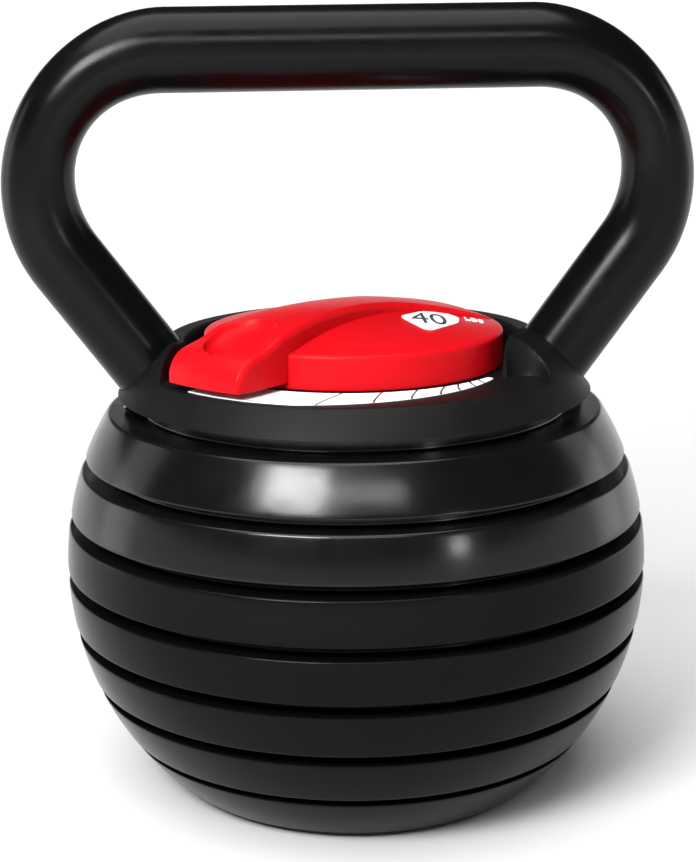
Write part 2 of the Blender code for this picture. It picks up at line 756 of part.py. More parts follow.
def dial(red, white, zinc):
    """The dial disc, the hourglass grip across it, the capacity badge and the screws."""
    outline = [(DIAL_RADIUS, DIAL_BOTTOM), (DIAL_RADIUS, DIAL_TOP - 1.0)]
    outline += dome(DIAL_RADIUS - 1.0, 6.5, 0.0)
    outline += [(6.5, 168.8), (2.9, 168.8), (2.9, 153.3), (13.0, 153.3)]
    outline += dome(13.0, DIAL_RADIUS - DIAL_WALL, -DIAL_WALL)
    outline.append((DIAL_RADIUS - DIAL_WALL, DIAL_BOTTOM))
    disc = turned("dial", outline, red)
    cut(disc, prism("dial_bore", hexagon(HEX_ROOM), 150, SHAFT_TOP + TOUCH, red))

    turn = Matrix.Rotation(math.radians(DIAL_REST), 4, "Z")
    grip = placed(lofted("dial_grip", grip_sections(), red), turn)
    under = [(0, 150), (DIAL_RADIUS + NOSE_GAP, 150)] + dome(DIAL_RADIUS + NOSE_GAP, 0.0, TOUCH, 6)
    cut(grip, turned("grip_seat", under, red))
    dish = turned("thumb_dish", [(0, -1)] + arc(1.0, -75, 75, 6) + [(0, 1)], red, SMALL_STEPS)
    dish.data.transform(Matrix.Diagonal((*DISH_SIZE, 1.0)))
    tilt = Matrix.Rotation(math.radians(DISH_TILT), 4, "Y")
    place = Vector((DISH_AT[0], 0.0, DISH_AT[1]))
    cut(grip, placed(dish, turn @ Matrix.Translation(place * MM) @ tilt))

    for number, (along_grip, screw_top) in enumerate(GRIP_SCREWS, start=1):
        shift = turn @ Matrix.Translation(Vector((along_grip, 0.0, 0.0)) * MM)
        top = screw_top + TOUCH
        hole = [(0, 165), (2.3, 165), (2.3, top), (0, top)]
        cutter = placed(turned(f"grip_screw_hole_{number}", hole, red, 12), shift)
        cut(disc, cutter)
        cut(grip, cutter)
        head = dial_top_at(abs(along_grip) + 4.0) - DIAL_WALL - TOUCH
        screw = [
            (0, head - 2.5),
            (4.0, head - 2.5),
            (4.0, head),
            (2.0, head),
            (2.0, screw_top),
            (0, screw_top),
        ]
        placed(turned(f"grip_screw_{number}", screw, zinc, 12), shift)
    screw = [(0, 155), (2.5, 155), (2.5, 169.1), (5.5, 169.1), (5.5, 172.8), (0, 172.8)]
    turned("dial_screw", screw, zinc, 16)
    capacity_badge(white)


def capacity_badge(white):
    """A thin label with cut corners that lies on the dome."""
    badge = prism("capacity_badge", BADGE, DIAL_TOP - 2, DIAL_TOP + 12, white)
    shell = dome(DIAL_RADIUS - 1.0, 7.0, TOUCH, 8) + dome(7.0, DIAL_RADIUS - 1.0, TOUCH + 0.3, 8)
    keep_inside(badge, turned("badge_shell", shell, white))


def base_pad(rubber):
    washer("base_pad", FOOT_BORE, FOOT_RADIUS, 0.0, FOOT_HEIGHT, rubber, STEPS)


def main():
    clear_scene()
    iron = material("gloss_black_iron", (0.012, 0.012, 0.013), 0.16)
    paint = material("satin_black_powder_coat", (0.016, 0.016, 0.017), 0.38)
    plastic = material("black_moulded_cover", (0.02, 0.02, 0.021), 0.45)
    red = material("red_moulded_plastic", (0.75, 0.011, 0.014), 0.32)
    white = material("white_print", (0.8, 0.8, 0.8), 0.4)
    steel = material("machined_steel", (0.45, 0.45, 0.46), 0.35, 1.0)
    zinc = material("zinc_plated_steel", (0.6, 0.6, 0.62), 0.3, 1.0)
    spring_steel = material("spring_steel", (0.3, 0.3, 0.31), 0.3, 1.0)
    brass = material("bronze_bush", (0.6, 0.42, 0.2), 0.35, 1.0)
    rubber = material("black_rubber", (0.015, 0.015, 0.015), 0.8)

    handle(paint, steel, zinc)
    head_casting(iron)
    top_cover(plastic, zinc)
    weight_scale(white)
    dial(red, white, zinc)
    drive(steel, brass, zinc, spring_steel)
    selector(steel, zinc)
    for number in range(1, PLATE_COUNT + 1):
        weight_plate(number, iron)
    base_pad(rubber)


main()
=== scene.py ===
"""The looks of an adjustable dial kettlebell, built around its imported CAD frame.

Lengths are in millimetres until a mesh is made. X runs along the handle, Y away from the front and Z up,
with the origin on the ball's axis at the floor, as in the frame. The rings, the handle, the cover and its
scale, the dial with its grip and badge, the selector's cams, spacers, washer, nut, ring and bush, and the
foot are replaced by finely divided meshes with rounded edges, in the frame's sizes but for small departures
at the dial's grip. The other pieces keep their CAD meshes and get a procedural material.
"""

import json
import math

import bmesh
import bpy
from mathutils import Matrix, Vector


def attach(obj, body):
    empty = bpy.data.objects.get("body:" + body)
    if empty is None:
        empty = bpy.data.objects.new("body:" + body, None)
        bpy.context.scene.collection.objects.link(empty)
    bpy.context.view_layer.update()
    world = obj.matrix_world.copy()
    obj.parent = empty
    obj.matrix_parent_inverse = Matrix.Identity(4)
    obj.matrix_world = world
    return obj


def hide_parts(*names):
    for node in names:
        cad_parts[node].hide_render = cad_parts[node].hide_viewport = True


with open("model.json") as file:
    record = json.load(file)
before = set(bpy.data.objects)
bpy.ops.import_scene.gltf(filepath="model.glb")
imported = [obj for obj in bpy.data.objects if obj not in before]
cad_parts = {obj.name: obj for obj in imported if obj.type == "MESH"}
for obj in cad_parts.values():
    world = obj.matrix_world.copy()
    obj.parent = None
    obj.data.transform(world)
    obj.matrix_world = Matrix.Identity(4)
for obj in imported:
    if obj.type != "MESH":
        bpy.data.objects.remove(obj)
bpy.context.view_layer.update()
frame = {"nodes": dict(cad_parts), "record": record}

MM = 0.001
RECORD = frame["record"]
NODE_SLOT = {row["node"]: row["material_slot"] for row in RECORD["subparts"]}
NODE_BODY = {node: body for body, nodes in RECORD["behaviour"]["bodies"].items() for node in nodes}

# The ball and its rings, as in the frame
BALL_RADIUS = 110.0
BALL_HEIGHT = 86.0
SKIN = 0.8
PLATE_COUNT = 6
PITCH = 20.8
HEAD_BOTTOM = 127.5
GROOVES = (4.4, 4.4, 4.4, 4.4, 3.8, 2.6)
GROOVE_DEPTH = 8.0
PLATE_MASS = 2.27
IRON = 7.2e-6
CORE_RIM = 8.0
TOUCH = 0.3
FOOT_RADIUS = 67.5
FOOT_HEIGHT = 2.4
FOOT_BORE = 28.0
LIP_BORE = 15.0
LIP_THICKNESS = 6.0
LOCK_ROOM = 24.0
HUB_WALL = 30.0
NOTCH_RADIUS = 22.3
RING_EDGE = 1.0  # rounding of a ring's outer edges
BAND_STEPS = 8  # steps up the side of a ring
CORE_SLICES = 16  # slices that add up a plate's iron

# The selector
DIAL_STEP = 13.5
TAB_HALF_ANGLE = 5.75
NOTCH_MARGIN = 1.0
CAM_HUB = 13.0
CAM_TIP = 21.5
CAM_THICKNESS = 5.0
CAM_DROP = 0.5
HEX_ROOM = 12.6  # across the flats of a bore for the hexagonal shaft
SPACER_INNER = 7.4
SPACER_OUTER = 11.0
WASHER_THICKNESS = 1.2
NUT_FLATS = 18.0
NUT_HEIGHT = 5.5
NUT_BORE = 7.3

# The head casting
CASTING_TOP = 144.8
NECK_TOP = 150.9
NECK_OUTER = 79.0
NECK_INNER = 73.0
BUSH_BORE = 17.0
HEAD_CORE_HEIGHT = 8.0
BOSS_TOP = 157.2
BOSS_RADIUS = 17.8
BOSS_REACH = 104.0
POST_CIRCLE = 44.0
POST_RADIUS = 6.0
POST_HOLE = 2.0
LEG_BOLT_HOLE = 4.4
LEG_BOLT_ROOM = 8.0
SOCKET_FLOOR = 4.6
DETENT_BORE = 2.5
DETENT_HEIGHT = 150.2

# The handle
GRIP_HEIGHT = 275.6
GRIP_HALF = 66.5
BEND_RADIUS = 47.2
LEG_LEAN = 36.4
LEG_END = 72.5
GRIP_RADIUS = 15.2
BEND_SQUEEZE = 12.8
LEG_RADIUS = 14.4
TUBE_WALL = 3.0

# The cover
COVER_BOTTOM = 151.2
COVER_SKIN = 0.5
COVER_WALL = 3.5
POCKET_FLOOR = 160.5
POCKET_RADIUS = 61.5
POCKET_WALL = 2.2
LEFT_WALL = ((-64.6, -12.0), (-66.9, -18.0), (-69.0, -23.0), (-70.0, -29.0), (-72.0, -35.0), (-73.0, -46.0))
LEFT_WALL_START = 187.0
OPENING_END = 323.2
OPENING_END_CENTRE = 71.7
OPENING_END_RADIUS = 7.5
COVER_TOP = 170.7
FRONT_START = LEFT_WALL_START + 13.0  # from here to OPENING_END the cover is the ball's own surface
EAR_END = 344.0
EAR_RISE = 9.0
EAR_BLEND = 16.0
COVER_INSIDE = 76.0
SCREW_HOLE = 2.3
SCREW_HEAD_ROOM = 4.4
DIAL_HOLE = 14.0
WALL_RISE = 1.9  # the run over which a pocket wall rises, which rounds its foot and its rim
SHELF_EDGE = 0.7  # rounding of the shelf's front edge

# The dial
DIAL_RADIUS = 55.6
DIAL_BOTTOM = 160.8
DIAL_TOP = 173.1
DIAL_WALL = 3.0
DIAL_DOME = 6.4
DIAL_REST = 223.4
GRIP_APEX = 184.4
GRIP_APEX_AT = 20.0
GRIP_BACK = -53.4
GRIP_FRONT = 78.4
GRIP_REACH = 54.4
GRIP_WAIST = 11.0
FRONT_FLARE = 0.0022
BACK_FLARE = 0.011
NOSE_FLARE_START = 45.0
NOSE_FLARE = 3.07
NOSE_FLARE_RUN = 15.5
CROWN = 0.004
FRONT_FALL = 0.0026
BACK_FALL = 0.00165
BACK_BEND = -42.0
END_FALL = 0.025
NOSE_STEP = 1.9  # the nose lies a little lower than the bridge behind it
NOSE_STEP_AT = 54.0
NOSE_STEP_RUN = 11.0
NOSE_BULGE = 1.4  # how far the nose's end bows out at its middle
NOSE_BULGE_AT = 66.0
NOSE_BULGE_RUN = 12.0
NOSE_START = 46.0
NOSE_BOTTOM = 163.3
NOSE_GAP = 0.5
GRIP_BASE = 170.0
SEAT_GAP = 0.03
DISH_AT = 59.5
DISH_LENGTH = 13.5
DISH_WIDTH = 11.8
DISH_DEPTH = 5.6
SIDE_ROUND = 2.0
SIDE_DROP = 2.4
FRONT_ROUND = 7.5
FRONT_DROP = 7.2
GRIP_SCREW_HOLES = ((-30.0, 179.1), (34.0, 180.9))  # place along the grip and height of the hole's end
DIAL_HUB = 13.0
DIAL_HUB_BOTTOM = 153.3
DIAL_HEX_TOP = 165.8
DIAL_SCREW_ROOM = 6.5
DIAL_SCREW_SEAT = 168.8
DIAL_SCREW_HOLE = 2.9

TURN_STEPS = 192
SMALL_STEPS = 72


# ---------------------------------------------------------------- materials


def add(tree, kind, **inputs):
    node = tree.nodes.new(kind)
    for name, value in inputs.items():
        node.inputs[name].default_value = value
    return node


def noise(tree, coords, scale, detail=3.0, stretch=(1.0, 1.0, 1.0)):
    """Noise in the object's own space, scale in cells a metre."""
    mapping = add(tree, "ShaderNodeMapping", Scale=stretch)
    tree.links.new(coords, mapping.inputs["Vector"])
    made = add(tree, "ShaderNodeTexNoise", Scale=scale, Detail=detail)
    tree.links.new(mapping.outputs["Vector"], made.inputs["Vector"])
    return made.outputs["Fac"]


def finish(name, colour, roughness, metallic=0.0, tint=0.12, gloss=0.05, patch=45.0, layers=(), shine=0.5):
    """A shader whose colour and roughness drift in soft patches, with one bump for each layer.

    A layer is (cells a metre, bump strength, depth in millimetres, stretch).
    """
    made = bpy.data.materials.new(name)
    made.use_nodes = True
    tree = made.node_tree
    shader = tree.nodes["Principled BSDF"]
    shader.inputs["Metallic"].default_value = metallic
    shader.inputs["Specular IOR Level"].default_value = shine
    coords = tree.nodes.new("ShaderNodeTexCoord").outputs["Object"]
    drift = noise(tree, coords, patch, 4.0)

    spread = tree.nodes.new("ShaderNodeMapRange")
    spread.inputs["From Min"].default_value = 0.3
    spread.inputs["From Max"].default_value = 0.7
    tree.links.new(drift, spread.inputs["Value"])
    mix = tree.nodes.new("ShaderNodeMix")
    mix.data_type = "RGBA"
    mix.inputs["A"].default_value = (*[c * (1 - tint) for c in colour], 1.0)
    mix.inputs["B"].default_value = (*[min(1.0, c * (1 + tint)) for c in colour], 1.0)
    tree.links.new(spread.outputs["Result"], mix.inputs["Factor"])
    tree.links.new(mix.outputs["Result"], shader.inputs["Base Color"])

    rough = tree.nodes.new("ShaderNodeMapRange")
    rough.inputs["From Min"].default_value = 0.3
    rough.inputs["From Max"].default_value = 0.7
    rough.inputs["To Min"].default_value = roughness - gloss
    rough.inputs["To Max"].default_value = roughness + gloss
    tree.links.new(noise(tree, coords, patch * 3.1, 5.0), rough.inputs["Value"])
    tree.links.new(rough.outputs["Result"], shader.inputs["Roughness"])

    normal = None
    for scale, strength, depth, stretch in layers:
        bump = add(tree, "ShaderNodeBump", Strength=strength, Distance=depth * MM)
        tree.links.new(noise(tree, coords, scale, 2.0, stretch), bump.inputs["Height"])
        if normal:
            tree.links.new(normal, bump.inputs["Normal"])
        normal = bump.outputs["Normal"]
    if normal:
        tree.links.new(normal, shader.inputs["Normal"])
    return made


EVEN = (1.0, 1.0, 1.0)
TURNED = (0.25, 0.25, 4.0)
FINISHES = {
    "iron_gloss": finish(
        "iron_gloss_black", (0.0022, 0.0022, 0.0024), 0.2, gloss=0.03, patch=30.0, shine=0.07,
        layers=((140.0, 0.16, 0.2, EVEN), (700.0, 0.1, 0.05, EVEN)),
    ),
    "handle_paint": finish(
        "handle_powder_coat", (0.0018, 0.0018, 0.002), 0.24, gloss=0.04, patch=38.0, shine=0.11,
        layers=((320.0, 0.12, 0.12, EVEN), (1500.0, 0.2, 0.04, EVEN)),
    ),
    "cover_plastic": finish(
        "cover_spark_texture", (0.0032, 0.0032, 0.0034), 0.47, gloss=0.04, patch=25.0, shine=0.1,
        layers=((2600.0, 0.35, 0.05, EVEN), (90.0, 0.06, 0.2, EVEN)),
    ),
    "dial_red": finish(
        "dial_red_moulding", (0.4, 0.003, 0.0062), 0.34, tint=0.035, gloss=0.03, patch=22.0, shine=0.055,
        layers=((1900.0, 0.16, 0.03, EVEN), (70.0, 0.05, 0.2, EVEN)),
    ),
    "print_white": finish(
        "label_white", (0.80, 0.81, 0.82), 0.42, tint=0.02, gloss=0.05, patch=60.0,
        layers=((1600.0, 0.12, 0.02, EVEN),),
    ),
    "machined_steel": finish(
        "machined_steel", (0.27, 0.27, 0.28), 0.32, 1.0, tint=0.1, gloss=0.08, patch=80.0,
        layers=((900.0, 0.2, 0.03, TURNED),),
    ),
    "zinc_steel": finish(
        "zinc_plate", (0.36, 0.37, 0.39), 0.3, 1.0, tint=0.08, gloss=0.07, patch=120.0,
        layers=((600.0, 0.12, 0.03, TURNED),),
    ),
    "spring_steel": finish(
        "spring_steel_oiled", (0.16, 0.16, 0.17), 0.28, 1.0, tint=0.15, gloss=0.06, patch=200.0,
        layers=((1500.0, 0.15, 0.02, EVEN),),
    ),
    "bronze": finish(
        "sintered_bronze", (0.42, 0.27, 0.12), 0.4, 1.0, tint=0.14, gloss=0.08, patch=300.0,
        layers=((2400.0, 0.3, 0.04, EVEN),),
    ),
    "foot_rubber": finish(
        "foot_rubber", (0.014, 0.014, 0.014), 0.78, tint=0.2, gloss=0.06, patch=70.0,
        layers=((900.0, 0.35, 0.08, EVEN),),
    ),
}
# A lit copy of the iron for the uppermost rings, with painted sheen: a stronger reflection and a slightly
# lighter colour than the other rings' iron.
IRON_PAINTED_SHEEN = finish(
    "iron_painted_sheen", (0.0025, 0.0025, 0.0027), 0.2, gloss=0.03, patch=30.0, shine=0.25,
    layers=((140.0, 0.16, 0.2, EVEN), (700.0, 0.1, 0.05, EVEN)),
)
PAINTED_SHEEN_NODES = ("weight_plate_1", "head_casting")  # the uppermost rings get the lit copy of the iron, with painted sheen
INK = finish("label_ink", (0.03, 0.03, 0.033), 0.5, layers=((1600.0, 0.12, 0.02, EVEN),))


# ---------------------------------------------------------------- mesh helpers


def polar(radius, degrees, height=0.0):
    angle = math.radians(degrees)
    return Vector((radius * math.cos(angle), radius * math.sin(angle), height))


def arc(radius, first, last, steps):
    points = []
    for i in range(steps + 1):
        point = polar(radius, first + (last - first) * i / steps)
        points.append((point.x, point.y))
    return points


def hexagon(flats):
    return arc(flats / math.sqrt(3), 0, 300, 5)


def smoothstep(value):
    """0 below 0, 1 above 1 and a soft rise between."""
    value = min(1.0, max(0.0, value))
    return value * value * (3 - 2 * value)


def new_object(name, mesh):
    """Closes a bmesh in millimetres into an object in metres."""
    bmesh.ops.recalc_face_normals(mesh, faces=mesh.faces)
    bmesh.ops.scale(mesh, vec=(MM, MM, MM), verts=mesh.verts)
    data = bpy.data.meshes.new(name)
    mesh.to_mesh(data)
    mesh.free()
    data.shade_smooth()
    made = bpy.data.objects.new(name, data)
    bpy.context.scene.collection.objects.link(made)
    return made


def bridge(mesh, lower, upper):
    """Joins two loops of vertices. A loop of one vertex is a pole."""
    count = max(len(lower), len(upper))
    for i in range(count):
        j = (i + 1) % count
        corners = [
            lower[i % len(lower)],
            lower[j % len(lower)],
            upper[j % len(upper)],
            upper[i % len(upper)],
        ]
        mesh.faces.new(list(dict.fromkeys(corners)))


def rounded(corners, steps=4):
    """Turns (x, y, rounding) corners of a closed outline into plain points."""
    points = []
    for i, (x, y, reach) in enumerate(corners):
        here = Vector((x, y))
        if reach <= 0:
            points.append((x, y))
            continue
        back = Vector(corners[i - 1][:2]) - here
        ahead = Vector(corners[(i + 1) % len(corners)][:2]) - here
        reach = min(reach, 0.45 * back.length, 0.45 * ahead.length)
        start = here + back.normalized() * reach
        end = here + ahead.normalized() * reach
        for j in range(steps + 1):
            t = j / steps
            point = start * (1 - t) ** 2 + here * 2 * t * (1 - t) + end * t**2
            points.append((point.x, point.y))
    return points


def turned(name, outline, steps=TURN_STEPS):
    """A solid turned about Z from a closed outline of (radius, height) points."""
    mesh = bmesh.new()
    rings = []
    for radius, height in outline:
        count = steps if radius > 0 else 1
        rings.append([mesh.verts.new(polar(radius, 360 * i / count, height)) for i in range(count)])
    for lower, upper in zip(rings, rings[1:] + rings[:1]):
        if len(lower) > 1 or len(upper) > 1:
            bridge(mesh, lower, upper)
    return new_object(name, mesh)


def prism(name, outline, bottom, top, edge=0.0):
    """A straight-walled solid along (x, y) points, its upper and lower edges cut back by edge."""
    mesh = bmesh.new()
    centre = sum((Vector(point) for point in outline), Vector((0.0, 0.0))) / len(outline)
    loops = []
    for height, inset in ((bottom, edge), (bottom + edge, 0.0), (top - edge, 0.0), (top, edge)):
        if edge == 0 and loops and loops[-1][0].co.z == height:
            continue
        loop = []
        for point in outline:
            away = Vector(point) - centre
            place = centre + away * (1 - inset / away.length)
            loop.append(mesh.verts.new((place.x, place.y, height)))
        loops.append(loop)
    for lower, upper in zip(loops, loops[1:]):
        bridge(mesh, lower, upper)
    mesh.faces.new(loops[0])
    mesh.faces.new(loops[-1])
    return new_object(name, mesh)


def sheets(name, rows_above, rows_below):
    """A closed body between two grids of points that share their size."""
    mesh = bmesh.new()
    above = [[mesh.verts.new(point) for point in row] for row in rows_above]
    below = [[mesh.verts.new(point) for point in row] for row in rows_below]
    for grid in (above, below):
        for first, second in zip(grid, grid[1:]):
            for i in range(len(first) - 1):
                mesh.faces.new((first[i], first[i + 1], second[i + 1], second[i]))
    bridge(mesh, border(above), border(below))
    return new_object(name, mesh)


def border(grid):
    """The vertices round the edge of a grid, in order."""
    loop = list(grid[0])
    loop += [row[-1] for row in grid[1:-1]]
    loop += list(reversed(grid[-1]))
    loop += [row[0] for row in reversed(grid[1:-1])]
    return loop


def carve(made, cutter, operation="DIFFERENCE"):
    """Applies one boolean and removes its cutter."""
    modifier = made.modifiers.new("carve", "BOOLEAN")
    modifier.object = cutter
    modifier.operation = operation
    modifier.solver = "MANIFOLD"
    graph = bpy.context.evaluated_depsgraph_get()
    result = bpy.data.meshes.new_from_object(made.evaluated_get(graph))
    made.modifiers.remove(modifier)
    made.data = result
    bpy.data.objects.remove(cutter, do_unlink=True)


def stand_in(piece, *nodes, sharp=35.0):
    """Finishes a piece that stands for CAD nodes: its material, its body and its shading."""
    slot = NODE_SLOT[nodes[0]]
    # The uppermost rings take the lit copy of the iron, with its painted sheen.
    material = IRON_PAINTED_SHEEN if nodes[0] in PAINTED_SHEEN_NODES else FINISHES[slot]
    dress(piece, material, NODE_BODY[nodes[0]], sharp)
    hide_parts(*nodes)


def dress(piece, material, body, sharp=35.0):
    """One visible piece's material, shading and body. Edges over sharp degrees stay crisp."""
    piece.data.materials.clear()
    piece.data.materials.append(material)
    piece.data.shade_smooth()
    piece.data.set_sharp_from_angle(angle=math.radians(sharp))
    modifier = piece.modifiers.new("even_shading", "WEIGHTED_NORMAL")
    modifier.keep_sharp = True
    modifier.weight = 80
    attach(piece, body)


def sphere_height(radius, skin):
    """The height of the ball's surface, this much skin inside it, at a distance from the axis."""
    return BALL_HEIGHT + math.sqrt(max(0.0, (BALL_RADIUS - skin) ** 2 - radius**2))


def sphere_radius(height, skin=SKIN):
    """The ball's radius in plan at a height, less its skin."""
    return math.sqrt(BALL_RADIUS**2 - (height - BALL_HEIGHT) ** 2) - skin


def sphere_band(bottom, top, skin=SKIN, edge=0.0):
    """Corners up the ball's side. The first and the last are rounded."""
    corners = []
    for i in range(BAND_STEPS + 1):
        height = bottom + (top - bottom) * i / BAND_STEPS
        rounding = edge if i in (0, BAND_STEPS) else 0.0
        corners.append((sphere_radius(height, skin), height, rounding))
    return corners


# ---------------------------------------------------------------- iron rings


def ring_bottom(number):
    return HEAD_BOTTOM - PITCH * number


def ring_top(number):
    if number == 0:
        return CASTING_TOP
    return ring_bottom(number - 1) - GROOVES[number - 1]


def neck_radius(number):
    return min(sphere_radius(ring_bottom(number - 1)), sphere_radius(ring_top(number))) - GROOVE_DEPTH


def neck_top(number):
    return ring_bottom(number - 1) - TOUCH


def core_radius(number):
    below = FOOT_RADIUS if number == PLATE_COUNT else neck_radius(number + 1)
    return below - CORE_RIM


def core_ceiling(number):
    """The core's height that leaves the plate with its mass."""
    bottom = ring_bottom(number)
    top = ring_top(number)
    iron = 0.0
    for i in range(CORE_SLICES):
        radius = sphere_radius(bottom + (top - bottom) * i / CORE_SLICES)
        iron += math.pi * radius**2 * (top - bottom) / CORE_SLICES
    iron += math.pi * neck_radius(number) ** 2 * (neck_top(number) - top)
    iron -= math.pi * LOCK_ROOM**2 * (neck_top(number) - LIP_THICKNESS - bottom)
    iron -= math.pi * LIP_BORE**2 * LIP_THICKNESS
    return bottom + (iron - PLATE_MASS / IRON) / (math.pi * (core_radius(number) ** 2 - HUB_WALL**2))


def weight_plate(number):
    """A cored ring with a lip that has two notches, wider on each lower plate."""
    bottom = ring_bottom(number)
    top = neck_top(number)
    ceiling = core_ceiling(number)
    corners = sphere_band(bottom, ring_top(number), edge=RING_EDGE)
    corners += [
        (neck_radius(number), ring_top(number), 1.2),
        (neck_radius(number), top, 0.8),
        (LIP_BORE, top, 0.5),
        (LIP_BORE, top - LIP_THICKNESS, 0.5),
        (LOCK_ROOM, top - LIP_THICKNESS, 0.8),
        (LOCK_ROOM, bottom, 0.8),
        (HUB_WALL, bottom, 0.8),
        (HUB_WALL, ceiling, 1.5),
        (core_radius(number), ceiling, 1.5),
        (core_radius(number), bottom, 0.8),
    ]
    plate = turned(f"plate_{number}_iron", rounded(corners))
    reach = TAB_HALF_ANGLE + NOTCH_MARGIN
    last = DIAL_STEP * (number - 1) + reach
    for side in (0, 180):
        outline = [(0.0, 0.0)] + arc(NOTCH_RADIUS, side - reach, side + last, 8 + 6 * number)
        carve(plate, prism("notch", outline, top - LIP_THICKNESS - 1, top + 1))
    stand_in(plate, f"weight_plate_{number}")


# ---------------------------------------------------------------- handle and head


def leg_point(side, distance):
    """A point on a leg's centreline, this far below the end of its bend."""
    lean = math.radians(LEG_LEAN)
    x = GRIP_HALF + BEND_RADIUS * math.cos(lean) - distance * math.sin(lean)
    z = GRIP_HEIGHT - BEND_RADIUS - BEND_RADIUS * math.sin(lean) - distance * math.cos(lean)
    return Vector((side * x, 0.0, z))


def leg_cylinder(name, side, radius, first, last, steps=96):
    start = leg_point(side, first)
    end = leg_point(side, last)
    length = (end - start).length
    made = turned(name, [(0, 0), (radius, 0), (radius, length), (0, length)], steps)
    turn = (end - start).to_track_quat("Z", "Y").to_matrix().to_4x4()
    made.data.transform(Matrix.Translation(start * MM) @ turn)
    return made


def handle_stations():
    """Centre, in-plane angle across the tube, and the tube's radii in and out of the plane."""
    half = []
    for i in range(9):
        half.append((Vector((GRIP_HALF * i / 9, 0.0, GRIP_HEIGHT)), 90.0, GRIP_RADIUS, GRIP_RADIUS))
    turn = 90 + LEG_LEAN
    bend_steps = 48
    for i in range(bend_steps + 1):
        share = i / bend_steps
        angle = 90 - turn * share
        centre = Vector((GRIP_HALF, 0.0, GRIP_HEIGHT - BEND_RADIUS)) + BEND_RADIUS * Vector(
            (math.cos(math.radians(angle)), 0.0, math.sin(math.radians(angle)))
        )
        across = GRIP_RADIUS + (LEG_RADIUS - GRIP_RADIUS) * smoothstep(share)
        squeeze = (across - BEND_SQUEEZE) * math.sin(math.pi * share) ** 1.5
        half.append((centre, angle, across - squeeze, across))
    for i in range(1, 13):
        half.append((leg_point(1, LEG_END * i / 12), -LEG_LEAN, LEG_RADIUS, LEG_RADIUS))
    other = [(Vector((-c.x, 0.0, c.z)), 180 - angle, a, b) for c, angle, a, b in reversed(half[1:])]
    return other + half


def handle():
    """The bent tube, hollow, relieved where it passes the cover's pocket."""
    mesh = bmesh.new()
    walls = []
    for wall in (0.0, TUBE_WALL):
        rings = []
        for centre, angle, in_plane, across in handle_stations():
            outward = Vector((math.cos(math.radians(angle)), 0.0, math.sin(math.radians(angle))))
            ring = []
            for i in range(SMALL_STEPS):
                turn = 2 * math.pi * i / SMALL_STEPS
                point = centre + (in_plane - wall) * math.cos(turn) * outward
                point.y += (across - wall) * math.sin(turn)
                ring.append(mesh.verts.new(point))
            rings.append(ring)
        walls.append(rings)
    loop = walls[0] + walls[1][::-1]
    for first, second in zip(loop, loop[1:] + loop[:1]):
        bridge(mesh, first, second)
    tube = new_object("handle_bar", mesh)
    relief = POCKET_RADIUS + POCKET_WALL + 0.5
    carve(tube, turned("relief", [(0, 140), (relief, 140), (relief, 176), (0, 176)]))
    stand_in(tube, "handle_tube")


def head():
    """The uppermost ring with its neck, leg bosses, cover posts, sockets and detent block."""
    ceiling = HEAD_BOTTOM + HEAD_CORE_HEIGHT
    core = neck_radius(1) - CORE_RIM
    corners = sphere_band(HEAD_BOTTOM, CASTING_TOP, edge=RING_EDGE)
    corners += [
        (NECK_OUTER, CASTING_TOP, 1.0),
        (NECK_OUTER, NECK_TOP, 0.5),
        (NECK_INNER, NECK_TOP, 0.5),
        (NECK_INNER, CASTING_TOP, 1.0),
        (BUSH_BORE, CASTING_TOP, 0.3),
        (BUSH_BORE, HEAD_BOTTOM, 0.6),
        (HUB_WALL, HEAD_BOTTOM, 0.8),
        (HUB_WALL, ceiling, 1.5),
        (core, ceiling, 1.5),
        (core, HEAD_BOTTOM, 0.8),
    ]
    casting = turned("head_iron", rounded(corners))
    for side in (-1, 1):
        boss = leg_cylinder("boss", side, BOSS_RADIUS, 45.0, LEG_END + SOCKET_FLOOR)
        band = [(r, z) for r, z, _ in sphere_band(HEAD_BOTTOM + 2, BOSS_TOP, BALL_RADIUS - BOSS_REACH)]
        limit = turned("limit", [(0, HEAD_BOTTOM + 2)] + band + [(0, BOSS_TOP)])
        carve(boss, limit, "INTERSECT")
        carve(casting, boss, "UNION")
    for i in range(4):
        post = turned("post", [(0, 143), (POST_RADIUS, 143), (POST_RADIUS, BOSS_TOP), (0, BOSS_TOP)], 32)
        post.data.transform(Matrix.Translation(polar(POST_CIRCLE, 45 + 90 * i) * MM))
        carve(casting, post, "UNION")
    for side in (-1, 1):
        carve(casting, leg_cylinder("socket", side, LEG_RADIUS + TOUCH, 30.0, LEG_END + TOUCH))
        carve(casting, leg_cylinder("bolt_hole", side, LEG_BOLT_HOLE, LEG_END - 5, LEG_END + 20, 32))
        floor = LEG_END + SOCKET_FLOOR
        carve(casting, leg_cylinder("bolt_room", side, LEG_BOLT_ROOM, floor, LEG_END + 30, 48))
    for i in range(4):
        hole = turned("post_hole", [(0, 147), (POST_HOLE, 147), (POST_HOLE, 160), (0, 160)], 24)
        hole.data.transform(Matrix.Translation(polar(POST_CIRCLE, 45 + 90 * i) * MM))
        carve(casting, hole)
    block = prism("block", [(-7, 28), (7, 28), (7, 44), (-7, 44)], CASTING_TOP - 1, 156.0)
    carve(casting, block, "UNION")
    bore = turned("detent_bore", [(0, 0), (DETENT_BORE, 0), (DETENT_BORE, 30), (0, 30)], 32)
    tilt = Matrix.Rotation(math.radians(-90), 4, "X")
    bore.data.transform(Matrix.Translation(Vector((0.0, 20.0, DETENT_HEIGHT)) * MM) @ tilt)
    carve(casting, bore)
    stand_in(casting, "head_casting")


# ---------------------------------------------------------------- cover


